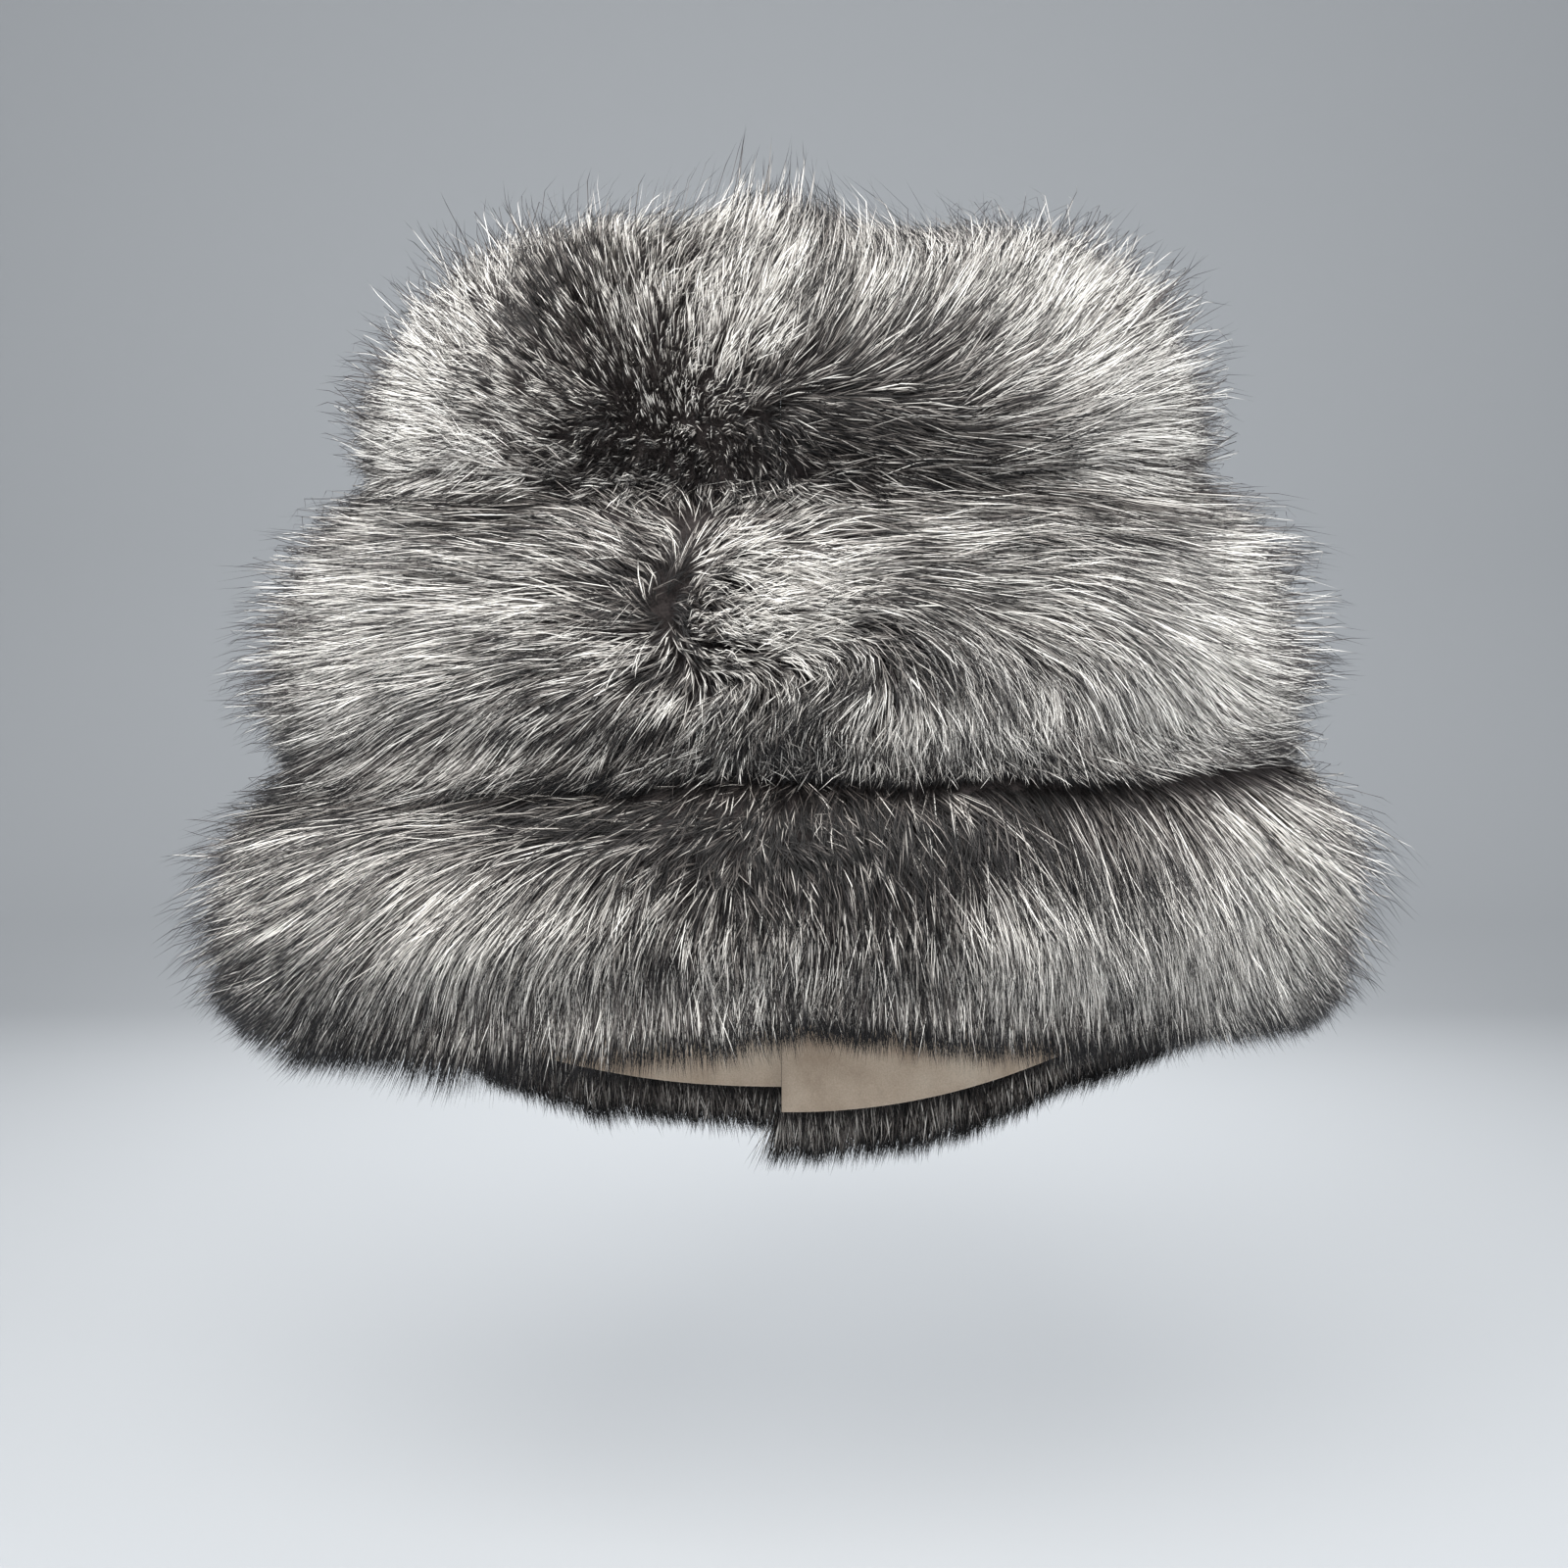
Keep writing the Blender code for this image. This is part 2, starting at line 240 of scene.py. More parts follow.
    (2, 0.375, 0.87, 30, 0.3, 1.0, 0.05),
    (2, 0.27, 0.48, 44, 0.3, 1.0, 0.05),
    (2, 0.195, 0.58, 53, 0.3, 1.0, 0.05),
    (2, 0.13, 0.52, 45, 0.3, 1.0, 0.1),
    (2, 0.13, 0.83, 61, 0.3, 1.0, 0.1),
    (2, 0.075, 0.52, 56, 0.3, 1.0, 0.15),
    (2, 0.05, 0.8, 76, 0.3, 1.0, 0.15),
    (2, 0.05, 0.3, 18, 0.6, 0.7, 0.5),
    (2, 0.005, 0.53, 92, 0.5, 0.8, 0.4),
    (2, -0.025, 0.35, 134, 0.6, 0.7, 0.5),
    (2, 0.005, 0.92, 90, 0.3, 1.0, 0.15),
    (2, -0.035, 0.8, 92, 0.3, 1.0, 0.2),
    (2, -0.08, 0.53, 98, 0.3, 1.0, 0.15),
    (2, -0.09, 0.17, 97, 0.4, 1.0, 0.2),
    (2, -0.135, 0.3, 104, 0.3, 1.0, 0.1),
    (2, -0.135, 0.75, 101, 0.3, 1.0, 0.1),
    (2, -0.205, 0.32, 90, 0.3, 1.0, 0.1),
    (2, -0.275, 0.33, 94, 0.3, 1.0, 0.05),
    (2, -0.2, 0.88, 94, 0.3, 1.0, 0.1),
    (2, -0.29, 0.85, 92, 0.3, 1.0, 0.1),
    (2, -0.335, 0.35, 118, 0.3, 1.0, 0.05),
    (2, -0.4, 0.37, 138, 0.3, 1.0, 0.05),
    (2, -0.4, 0.67, 128, 0.3, 1.0, 0.05),
    (2, -0.395, 0.95, 126, 0.3, 1.0, 0.05),
    (2, 0.315, 1.0, 69, 0.3, 1.0, 0.1),
    (2, 0.205, 1.0, 89, 0.3, 1.0, 0.1),
    (2, 0.11, 1.0, 91, 0.3, 1.0, 0.1),
    (2, 0.02, 1.0, 91, 0.3, 1.0, 0.1),
    (2, -0.05, 1.0, 89, 0.3, 1.0, 0.1),
    (2, -0.14, 1.0, 91, 0.3, 1.0, 0.1),
    (2, -0.24, 1.0, 93, 0.3, 1.0, 0.1),
    (2, -0.345, 1.0, 108, 0.3, 1.0, 0.1),
    # bottom row, sides and front
    (2, 0.5, 0.2, 6, 0.3, 1.0, 0.1),
    (2, 0.5, 0.5, 20, 0.3, 1.0, 0.1),
    (2, 0.5, 0.85, 45, 0.3, 1.0, 0.1),
    (2, 0.5, 1.0, 65, 0.3, 1.0, 0.1),
    (2, 0.63, 0.2, 22, 0.3, 1.0, 0.1),
    (2, 0.63, 0.5, 36, 0.3, 1.0, 0.1),
    (2, 0.63, 0.9, 66, 0.3, 1.0, 0.1),
    (2, 0.76, 0.3, 48, 0.3, 1.0, 0.1),
    (2, 0.76, 0.8, 72, 0.3, 1.0, 0.1),
    (2, 0.9, 0.3, 70, 0.3, 1.0, 0.1),
    (2, 0.9, 0.8, 82, 0.3, 1.0, 0.1),
    (2, 1.0, 0.5, 86, 0.3, 1.0, 0.1),
    (2, -0.5, 0.2, 174, 0.3, 1.0, 0.1),
    (2, -0.5, 0.5, 160, 0.3, 1.0, 0.1),
    (2, -0.5, 0.85, 135, 0.3, 1.0, 0.1),
    (2, -0.5, 1.0, 115, 0.3, 1.0, 0.1),
    (2, -0.63, 0.2, 158, 0.3, 1.0, 0.1),
    (2, -0.63, 0.5, 144, 0.3, 1.0, 0.1),
    (2, -0.63, 0.9, 114, 0.3, 1.0, 0.1),
    (2, -0.76, 0.3, 132, 0.3, 1.0, 0.1),
    (2, -0.76, 0.8, 108, 0.3, 1.0, 0.1),
    (2, -0.9, 0.3, 110, 0.3, 1.0, 0.1),
    (2, -0.9, 0.8, 98, 0.3, 1.0, 0.1),
    (2, -1.0, 0.5, 94, 0.3, 1.0, 0.1),
)
# Lighter and darker places of the fur, partly the pelts' own tone and partly painted light and shade, lighter on
# the lit bulges of the rows and darker in the painted shadow of the creases: row, q, along, radius, shade (-1 dark
# to 1 light)
TONE_AND_SHADE_PATCHES = (
    (0, 0.365, 0.87, 0.050, 0.48),
    (0, 0.27, 0.50, 0.022, -0.45),
    (0, -0.06, 0.40, 0.050, -0.15),
    (0, 0.335, 0.65, 0.035, 0.25),
    (0, 0.08, 0.45, 0.040, 0.12),
    (0, -0.345, 0.78, 0.050, 0.70),
    (0, -0.275, 0.93, 0.035, 0.25),
    (0, 0.16, 0.77, 0.034, -0.20),
    (0, 0.255, 0.62, 0.022, -0.6),
    (0, 0.085, 0.95, 0.040, -0.30),
    (0, -0.06, 0.93, 0.045, -0.50),
    (0, -0.165, 0.9, 0.030, -0.45),
    (0, -0.1, 0.77, 0.020, -0.55),
    (0, -0.03, 0.82, 0.025, -0.5),
    (0, -0.305, 1.0, 0.020, -0.6),
    (0, 0.01, 0.97, 0.040, -0.3),
    (0, -0.19, 0.55, 0.025, 0.2),
    (0, -0.215, 0.7, 0.030, 0.25),
    (0, 0.185, 0.92, 0.030, -0.2),
    (0, 0.135, 0.62, 0.030, 0.15),
    (1, 0.295, 0.38, 0.060, 0.72),
    (1, 0.015, 0.37, 0.030, 0.5),
    (1, -0.325, 0.53, 0.060, 0.70),
    (1, -0.12, 0.7, 0.030, 0.4),
    (1, -0.035, 0.27, 0.018, -0.45),
    (1, 0.065, 0.4, 0.022, -0.7),
    (1, -0.055, 0.53, 0.020, -0.7),
    (1, -0.105, 0.32, 0.030, -0.15),
    (1, -0.015, 0.72, 0.030, -0.1),
    (1, 0.16, 0.2, 0.030, -0.1),
    (1, -0.2, 0.43, 0.030, 0.1),
    (1, 0.2, 0.72, 0.040, 0.1),
    (1, -0.21, 0.75, 0.030, -0.2),
    # painted shadow at the top of the bottom row, under the middle row's overhanging hair
    (2, 0.00, 0.17, 0.085, -1.15),
    (2, 0.00, 0.04, 0.060, -0.60),
    (2, 0.37, 0.45, 0.070, -0.34),
    (0, 0.28, 0.42, 0.035, -0.45),
    (2, 0.09, 0.10, 0.050, -0.60),
    (2, -0.10, 0.10, 0.055, -0.60),
    (2, -0.33, 0.50, 0.110, 0.52),
    (2, -0.32, 0.24, 0.050, 0.30),
    (2, -0.16, 0.55, 0.060, 0.25),
    (1, -0.34, 0.50, 0.090, 0.58),
    (1, -0.36, 0.16, 0.045, 0.30),
    (1, 0.0, 0.10, 0.050, 0.20),
    (0, -0.33, 0.72, 0.070, 0.35),
    (0, -0.10, 0.92, 0.100, 0.20),
    (1, 0.02, 0.62, 0.080, -0.22),
    (1, -0.08, 0.96, 0.060, -0.20),
    (1, 0.10, 0.96, 0.060, -0.35),
    # painted shade along the tops of the middle and bottom rows, under the row above
    (2, -0.16, 0.04, 0.030, -0.35),
    (2, 0.16, 0.08, 0.035, -0.45),
    (2, 0.25, 0.07, 0.030, -0.30),
    (1, 0.20, 0.06, 0.030, -0.30),
    (1, 0.10, 0.04, 0.030, -0.30),
    (2, -0.33, 0.70, 0.055, 0.30),
    (2, 0.33, 0.62, 0.050, 0.25),
    (1, -0.36, 0.80, 0.045, 0.35),
    (1, 0.36, 0.62, 0.050, 0.35),
    (2, 0.005, 0.43, 0.030, -0.4),
    (2, 0.19, 0.53, 0.038, 0.5),
    (2, 0.345, 0.3, 0.032, 0.5),
    (2, 0.13, 0.8, 0.030, 0.35),
    (2, 0.355, 0.87, 0.035, -0.2),
    (2, 0.235, 1.0, 0.040, -0.25),
    (2, -0.35, 0.35, 0.032, 0.6),
    (2, -0.11, 0.28, 0.020, 0.2),
    (2, -0.23, 0.23, 0.030, -0.15),
    (2, -0.035, 0.8, 0.035, -0.3),
    (2, 0.1, 0.25, 0.030, -0.25),
    (2, -0.2, 0.88, 0.040, 0.1),
    (2, 0.055, 0.8, 0.025, 0.25),
    (2, -0.23, 0.53, 0.030, 0.15),
    (0, -0.19, 0.10, 0.060, -0.50),
    (0, -0.12, 0.12, 0.050, -0.35),
    (0, 0.40, 0.85, 0.050, 0.32),
    (1, -0.33, 0.12, 0.050, 0.42),
    (1, 0.36, 0.20, 0.050, 0.36),
    (1, 0.03, 0.50, 0.030, 0.45),
    (1, -0.07, 0.72, 0.040, 0.32),
    (1, 0.40, 0.72, 0.040, 0.40),
    (1, -0.04, 0.30, 0.018, -0.30),
    (1, 0.22, 0.12, 0.050, -0.30),
    (2, -0.06, 0.22, 0.060, -0.50),
    (2, -0.36, 0.12, 0.050, 0.52),
    (2, 0.36, 0.30, 0.050, 0.40),
    (2, -0.13, 0.45, 0.050, 0.30),
    (2, 0.09, 0.42, 0.040, 0.28),
    (2, -0.01, 0.70, 0.070, 0.18),
    # sides and fronts, not seen: silver down the middle of each row
    (0, 0.60, 0.50, 0.080, 0.40),
    (0, -0.60, 0.50, 0.080, 0.40),
    (0, 0.84, 0.55, 0.065, 0.38),
    (0, -0.84, 0.55, 0.065, 0.38),
    (1, 0.58, 0.50, 0.090, 0.45),
    (1, -0.58, 0.50, 0.090, 0.45),
    (1, 0.82, 0.55, 0.080, 0.40),
    (1, -0.82, 0.55, 0.080, 0.40),
    (2, 0.58, 0.45, 0.090, 0.45),
    (2, -0.58, 0.45, 0.090, 0.45),
    (2, 0.82, 0.50, 0.085, 0.40),
    (2, -0.82, 0.50, 0.085, 0.40),
)
# Hair that stands higher than its row: row, q, along, radius, extra share of the reach
CRESTS = (
    (0, 0.060, 0.20, 0.075, 0.32),
    (0, 0.036, 0.15, 0.034, 0.42),
    (0, -0.13, 0.26, 0.045, -0.42),
    (0, -0.25, 0.26, 0.045, -0.34),
    (0, 0.22, 0.30, 0.035, -0.16),
    (1, 0.43, 0.10, 0.06, -0.30),
    (1, 0.0, 0.9, 0.08, 0.14),
    (2, 0.0, 0.14, 0.07, -0.40),
    (2, 0.12, 0.10, 0.05, -0.15),
    (2, -0.12, 0.10, 0.05, -0.15),
)
# Tousled places where the hair parts or turns round: row, q, along, radius, mess
TOUSLED = (
    (0, 0.17, 0.72, 0.090, 1.00),
    (0, 0.25, 0.56, 0.066, 0.92),
    (0, 0.19, 0.44, 0.035, 0.45),
    (0, 0.29, 0.40, 0.048, 0.75),
    (0, 0.09, 0.92, 0.060, 0.90),
    (0, 0.00, 0.96, 0.045, 0.60),
    (1, 0.062, 0.40, 0.042, 0.80),
    (1, 0.035, 0.58, 0.045, 0.35),
    (1, -0.05, 0.55, 0.030, 0.60),
    (1, 0.015, 0.80, 0.035, 0.45),
    (2, 0.00, 0.16, 0.080, 0.95),
    (2, 0.00, 0.03, 0.070, 0.95),
    (2, -0.10, 0.14, 0.050, 0.75),
    (2, 0.10, 0.12, 0.050, 0.65),
    (2, 0.00, 0.48, 0.045, 0.50),
)
# How far each row's hair falls over the seam below it: row, then (q, metres)
OVERHANG = (
    ((-1.0, 0.018), (-0.4, 0.018), (-0.3, 0.010), (-0.1, 0.012), (0.1, 0.016), (0.35, 0.020), (1.0, 0.018)),
    ((-1.0, 0.014), (-0.4, 0.004), (-0.2, -0.004), (0.0, 0.000), (0.1, 0.008), (0.22, 0.016), (0.34, 0.010), (1.0, 0.014)),
    ((-1.0, 0.062), (-0.56, 0.046), (-0.42, 0.014), (-0.28, 0.060), (-0.12, 0.108), (-0.03, 0.086), (0.03, 0.112), (0.12, 0.130), (0.20, 0.112), (0.28, 0.062), (0.42, 0.006), (0.56, 0.040), (1.0, 0.062)),
)

TRIANGLES = (134000, 154000, 166000)  # of hair in each half of a row


# ---------------------------------------------------------------- the skin's surface
def unit(v):
    return v / np.maximum(np.linalg.norm(v, axis=-1, keepdims=True), 1e-12)


def spline(x, y, at):
    n = len(x)
    lo, hi = np.maximum(np.arange(n) - 1, 0), np.minimum(np.arange(n) + 1, n - 1)
    slope = (y[hi] - y[lo]) / (x[hi] - x[lo])
    k = np.clip(np.searchsorted(x, at, side="right") - 1, 0, n - 2)
    h = x[k + 1] - x[k]
    t = (at - x[k]) / h
    return (
        (2 * t**3 - 3 * t**2 + 1) * y[k]
        + (t**3 - 2 * t**2 + t) * h * slope[k]
        + (-2 * t**3 + 3 * t**2) * y[k + 1]
        + (t**3 - t**2) * h * slope[k + 1]
    )


def between(key, down):
    return spline(RINGS[:, 0], RINGS[:, RING_COLUMNS.index(key)], down)


_mid = math.pi * (np.arange(720) + 0.5) / 720
RUN = np.concatenate([[0.0], np.cumsum(np.hypot(0.345 * np.cos(_mid), 0.190 * np.sin(_mid)))])
RUN /= RUN[-1]


def angle(q):
    return np.interp(np.abs(q), RUN, np.linspace(0.0, math.pi, 721))


def surface(q, down, side=None):
    """Point of the skin's hair side; side is taken from q unless given."""
    q, down = np.broadcast_arrays(np.asarray(q, float), np.asarray(down, float))
    left = q >= 0 if side is None else np.full(q.shape, side > 0)
    turn = angle(q)
    across = np.where(left, between("left", down), between("right", down))
    p = 2.0 / between("square", down)
    s, c = np.sin(turn), np.cos(turn)
    depth = np.where(c > 0, between("back", down), between("front", down))
    z_side = np.where(left, between("z_left", down), between("z_right", down))
    z_front = np.where(left, between("z_front_left", down), between("z_front_right", down))
    z_end = np.where(c > 0, between("z_back", down), z_front)
    return np.stack(
        [
            np.where(left, 1.0, -1.0) * across * np.abs(s) ** p,
            depth * np.sign(c) * np.abs(c) ** p,
            z_end + (z_side - z_end) * s * s,
        ],
        -1,
    )


def skin_frame(q, down, side=None):
    """Point, outward normal, direction of growing q, direction down."""
    e = 0.004
    t_down = unit(surface(q, np.clip(down + e, 0, 3), side) - surface(q, np.clip(down - e, 0, 3), side))
    a, b = np.clip(q - e, -1, 1), np.clip(q + e, -1, 1)
    if side is not None:
        a, b = (np.maximum(a, 0.0), b) if side > 0 else (a, np.minimum(b, 0.0))
    t_q = unit(surface(b, down, side) - surface(a, down, side))
    return surface(q, down, side), unit(np.cross(t_q, t_down)), t_q, t_down


class Skin:
    """The skin's frame on a fine grid of q and down, read by interpolation."""

    def __init__(self, nq=801, nd=241):
        self.q, self.d = np.linspace(-1, 1, nq), np.linspace(0, 3, nd)
        Q, D = np.meshgrid(self.q, self.d, indexing="ij")
        P, N, TQ, TD = skin_frame(Q, D)
        # metres of skin per step of q and per step of down, kept beside the frames
        sq = np.linalg.norm(np.gradient(P, self.q, axis=0), axis=-1)
        sd = np.linalg.norm(np.gradient(P, self.d, axis=1), axis=-1)
        self.grid = np.concatenate([P, N, TQ, TD, sq[..., None], sd[..., None]], -1)

    def __call__(self, q, down):
        """P, N, TQ, TD, metres per q, metres per down; carried on straight past every edge."""
        qc, dc = np.clip(q, -1, 1), np.clip(down, 0, 3)
        x = (qc + 1) / 2 * (len(self.q) - 1)
        y = dc / 3 * (len(self.d) - 1)
        i, j = np.minimum(x.astype(int), len(self.q) - 2), np.minimum(y.astype(int), len(self.d) - 2)
        a, b = (x - i)[..., None], (y - j)[..., None]
        g = self.grid
        v = (g[i, j] * (1 - a) + g[i + 1, j] * a) * (1 - b) + (g[i, j + 1] * (1 - a) + g[i + 1, j + 1] * a) * b
        N, TQ, TD = unit(v[..., 3:6]), unit(v[..., 6:9]), unit(v[..., 9:12])
        sq, sd = v[..., 12], v[..., 13]
        P = v[..., 0:3] + TQ * ((q - qc) * sq)[..., None] + TD * ((down - dc) * sd)[..., None]
        return P, N, TQ, TD, sq, sd


skin = Skin()


def reach(row, q):
    t = angle(q)
    back, side, front = REACH[row]
    end = np.where(t < math.pi / 2, back, front)
    return end + (side - end) * np.sin(t) ** 2


def share(row, along):
    """Height of the hair's outside over the skin, as a share of the reach, past the edges too."""
    x, y = SECTION[:, 0], SECTION[:, 1]
    if row == 0:
        x, y = np.append([-0.14, -0.08, -0.04, 0.0, 0.07], x[2:]), np.append([0.22, 0.42, 0.58, 0.68, 0.76], y[2:])
    else:
        x, y = np.append([-0.10], x), np.append([0.20], y)
    if row == 2:
        x, y = np.append(x[:-3], [0.82, 1.0, 1.08, 1.165, 1.21, 1.35]), np.append(y[:-3], [0.92, 0.74, 0.60, 0.44, 0.34, 0.24])
    else:
        x, y = np.append(x, [1.07, 1.2]), np.append(y, [0.60, 0.80])
    return np.interp(along, x, y)


def slope(row, along):
    """How fast the hair's outside rises on the way down the row, smoothed, and held past its edges."""
    a = np.clip(along, 0.04, 0.93 if row < 2 else 1.10)
    return (share(row, a + 0.07) - share(row, a - 0.07)) / 0.14


# ---------------------------------------------------------------- numbers without chance
def scramble(a, b, seed):
    """A fixed number from 0 to 1 for each pair of whole numbers."""
    a, b = a.astype(np.int64).astype(np.uint32), b.astype(np.int64).astype(np.uint32)
    x = a * np.uint32(374761393) + b * np.uint32(668265263) + np.uint32((seed * 974711 + 12345) & 0xFFFFFFFF)
    x = (x ^ (x >> np.uint32(13))) * np.uint32(1274126177)
    x = (x ^ (x >> np.uint32(16))) * np.uint32(2246822519)
    return ((x ^ (x >> np.uint32(15))) & np.uint32(0xFFFFFF)).astype(float) / float(0xFFFFFF)


def waves(u, v, size, seed):
    """Smooth noise from -1 to 1 on a plane, with bumps of the given size."""
    x, y = u / size, v / size
    i, j = np.floor(x), np.floor(y)
    a, b = x - i, y - j
    a, b = a * a * (3 - 2 * a), b * b * (3 - 2 * b)
    n = lambda p, r: scramble(p, r, seed)
    low = n(i, j) * (1 - a) + n(i + 1, j) * a
    high = n(i, j + 1) * (1 - a) + n(i + 1, j + 1) * a
    return 2 * (low * (1 - b) + high * b) - 1


def tufts(u, v, size, seed):
    """The nearest tuft's middle for each place, and a fixed whole number for the tuft."""
    i, j = np.floor(u / size), np.floor(v / size)
    best = np.full(u.shape, 1e9)
    cu, cv, ci = np.zeros(u.shape), np.zeros(u.shape), np.zeros(u.shape)
    for di in (-1, 0, 1):
        for dj in (-1, 0, 1):
            x = (i + di + 0.1 + 0.8 * scramble(i + di, j + dj, seed)) * size
            y = (j + dj + 0.1 + 0.8 * scramble(i + di, j + dj, seed + 1)) * size
            d = np.hypot(u - x, v - y)
            near = d < best
            best = np.where(near, d, best)
            cu, cv = np.where(near, x, cu), np.where(near, y, cv)
            ci = np.where(near, (i + di) * 4096 + (j + dj), ci)
    return cu, cv, ci


# ---------------------------------------------------------------- the combing of a row
class Combing:
    """Direction, lift, length, mess, tone with painted light and shade, and crest over one row, on a grid of q and
    along.
    """

    NQ, NA = 421, 61

    def __init__(self, row):
        self.row = row
        q, a = np.linspace(-1.02, 1.02, self.NQ), np.linspace(-0.1, 1.1, self.NA)
        Q, A = np.meshgrid(q, a, indexing="ij")
        girth, depth = GIRTH[row], DEPTH[row]
        total = np.zeros(Q.shape)
        fields = np.zeros(Q.shape + (5,))
        for r, gq, ga, way, lift, length, mess in GUIDES:
            if r != row:
                continue
            d2 = ((Q - gq) * girth) ** 2 + ((A - ga) * depth) ** 2
            w = 1.0 / (d2 + 0.015**2) ** 1.8
            t = math.radians(way)
            total += w
            for k, value in enumerate((math.cos(t), math.sin(t), lift, length, mess)):
                fields[..., k] += w * value
        fields /= total[..., None]
        calm = np.hypot(fields[..., 0], fields[..., 1])
        # painted shade along the top of the middle and bottom rows, where the row above hangs over them; the
        # patches add the fur's own tone and more painted light and shade
        tone_and_shade = ((-0.55, -0.62)[row - 1] * np.exp(-((A / (0.085, 0.095)[row - 1]) ** 2)) if row else 0.0) * np.ones(Q.shape)
        for r, gq, ga, radius, value in TONE_AND_SHADE_PATCHES:
            if r == row:
                d2 = ((Q - gq) * girth) ** 2 + ((A - ga) * depth) ** 2
                tone_and_shade += value * np.exp(-d2 / (2 * (0.72 * radius) ** 2))
        crest = np.zeros(Q.shape)
        for r, gq, ga, radius, value in CRESTS:
            if r == row:
                d2 = ((Q - gq) * girth) ** 2 + ((A - ga) * depth) ** 2
                crest += value * np.exp(-d2 / (2 * radius**2))
        stir = np.clip(0.85 - calm, 0, 1)  # where the combing parts or turns round
        lift = np.clip(fields[..., 2] + 0.5 * stir, 0, 1)
        fields[..., 4] += 0.9 * stir
        for r, gq, ga, radius, value in TOUSLED:
            if r == row:
                d2 = ((Q - gq) * girth) ** 2 + ((A - ga) * depth) ** 2
                w = value * np.exp(-d2 / (2 * (0.7 * radius) ** 2))
                fields[..., 4] = np.maximum(fields[..., 4], w)
                fields[..., 3] *= 1 - (0.50 if r == 0 else 0.42) * w
                lift = np.maximum(lift, 0.3 + 0.45 * w)
        self.grid = np.stack(
            [
                fields[..., 0] / np.maximum(calm, 1e-6),
                fields[..., 1] / np.maximum(calm, 1e-6),
                lift,
                fields[..., 3],
                fields[..., 4],
                np.clip(tone_and_shade, -1, 1),
                crest,
            ],
            -1,
        )

    def __call__(self, q, along):
        x = (np.clip(q, -1.02, 1.02) + 1.02) / 2.04 * (self.NQ - 1)
        y = (np.clip(along, -0.1, 1.1) + 0.1) / 1.2 * (self.NA - 1)
        i, j = np.minimum(x.astype(int), self.NQ - 2), np.minimum(y.astype(int), self.NA - 2)
        a, b = (x - i)[..., None], (y - j)[..., None]
        g = self.grid
        return (g[i, j] * (1 - a) + g[i + 1, j] * a) * (1 - b) + (g[i, j + 1] * (1 - a) + g[i + 1, j + 1] * a) * b


# ---------------------------------------------------------------- hair
TONES = 32  # columns of the hair's colour map
KINDS = 4  # 0 silver, 1 silver with a long dark tip, 2 dark, 3 white


def roots(row, side, count, rng):
    """Even places on a half row, closer together at the back than at the front."""
    nq, na = 240, 60
    q = (np.arange(nq) + 0.5) / nq * side
    a = (np.arange(na) + 0.5) / na
    Q, A = np.meshgrid(q, a, indexing="ij")
    P, N, TQ, TD, sq, sd = skin(Q, row + A)
    f = np.abs(Q)
    weight = 1.0 - 0.58 * np.clip((f - 0.46) / 0.12, 0, 1)
    weight *= sq * sd
    if row == 2:
        weight *= 1.0 + 0.9 * np.clip((f - 0.46) / 0.12, 0, 1) * np.clip((A - 0.70) / 0.2, 0, 1)
    if row == 0:
        weight *= np.where(f < 0.5, 1.0 - 0.45 * np.clip((0.28 - A) / 0.15, 0, 1), 1.0)
    rows = weight.sum(1)
    cum = np.concatenate([[0], np.cumsum(rows)]) / rows.sum()
    k = (np.arange(count) + rng.random(count)) / count
    x = np.interp(k, cum, np.arange(nq + 1))
    i = np.minimum(x.astype(int), nq - 1)
    golden = (np.arange(count) * 0.6180339887 + 0.15 * rng.random(count)) % 1.0
    part = np.cumsum(weight, 1) / rows[:, None]
    part = np.concatenate([np.zeros((nq, 1)), part], 1)
    y = np.empty(count)
    for n in range(nq):
        here = i == n
        y[here] = np.interp(golden[here], part[n], np.arange(na + 1))
    return x / nq * side, y / na


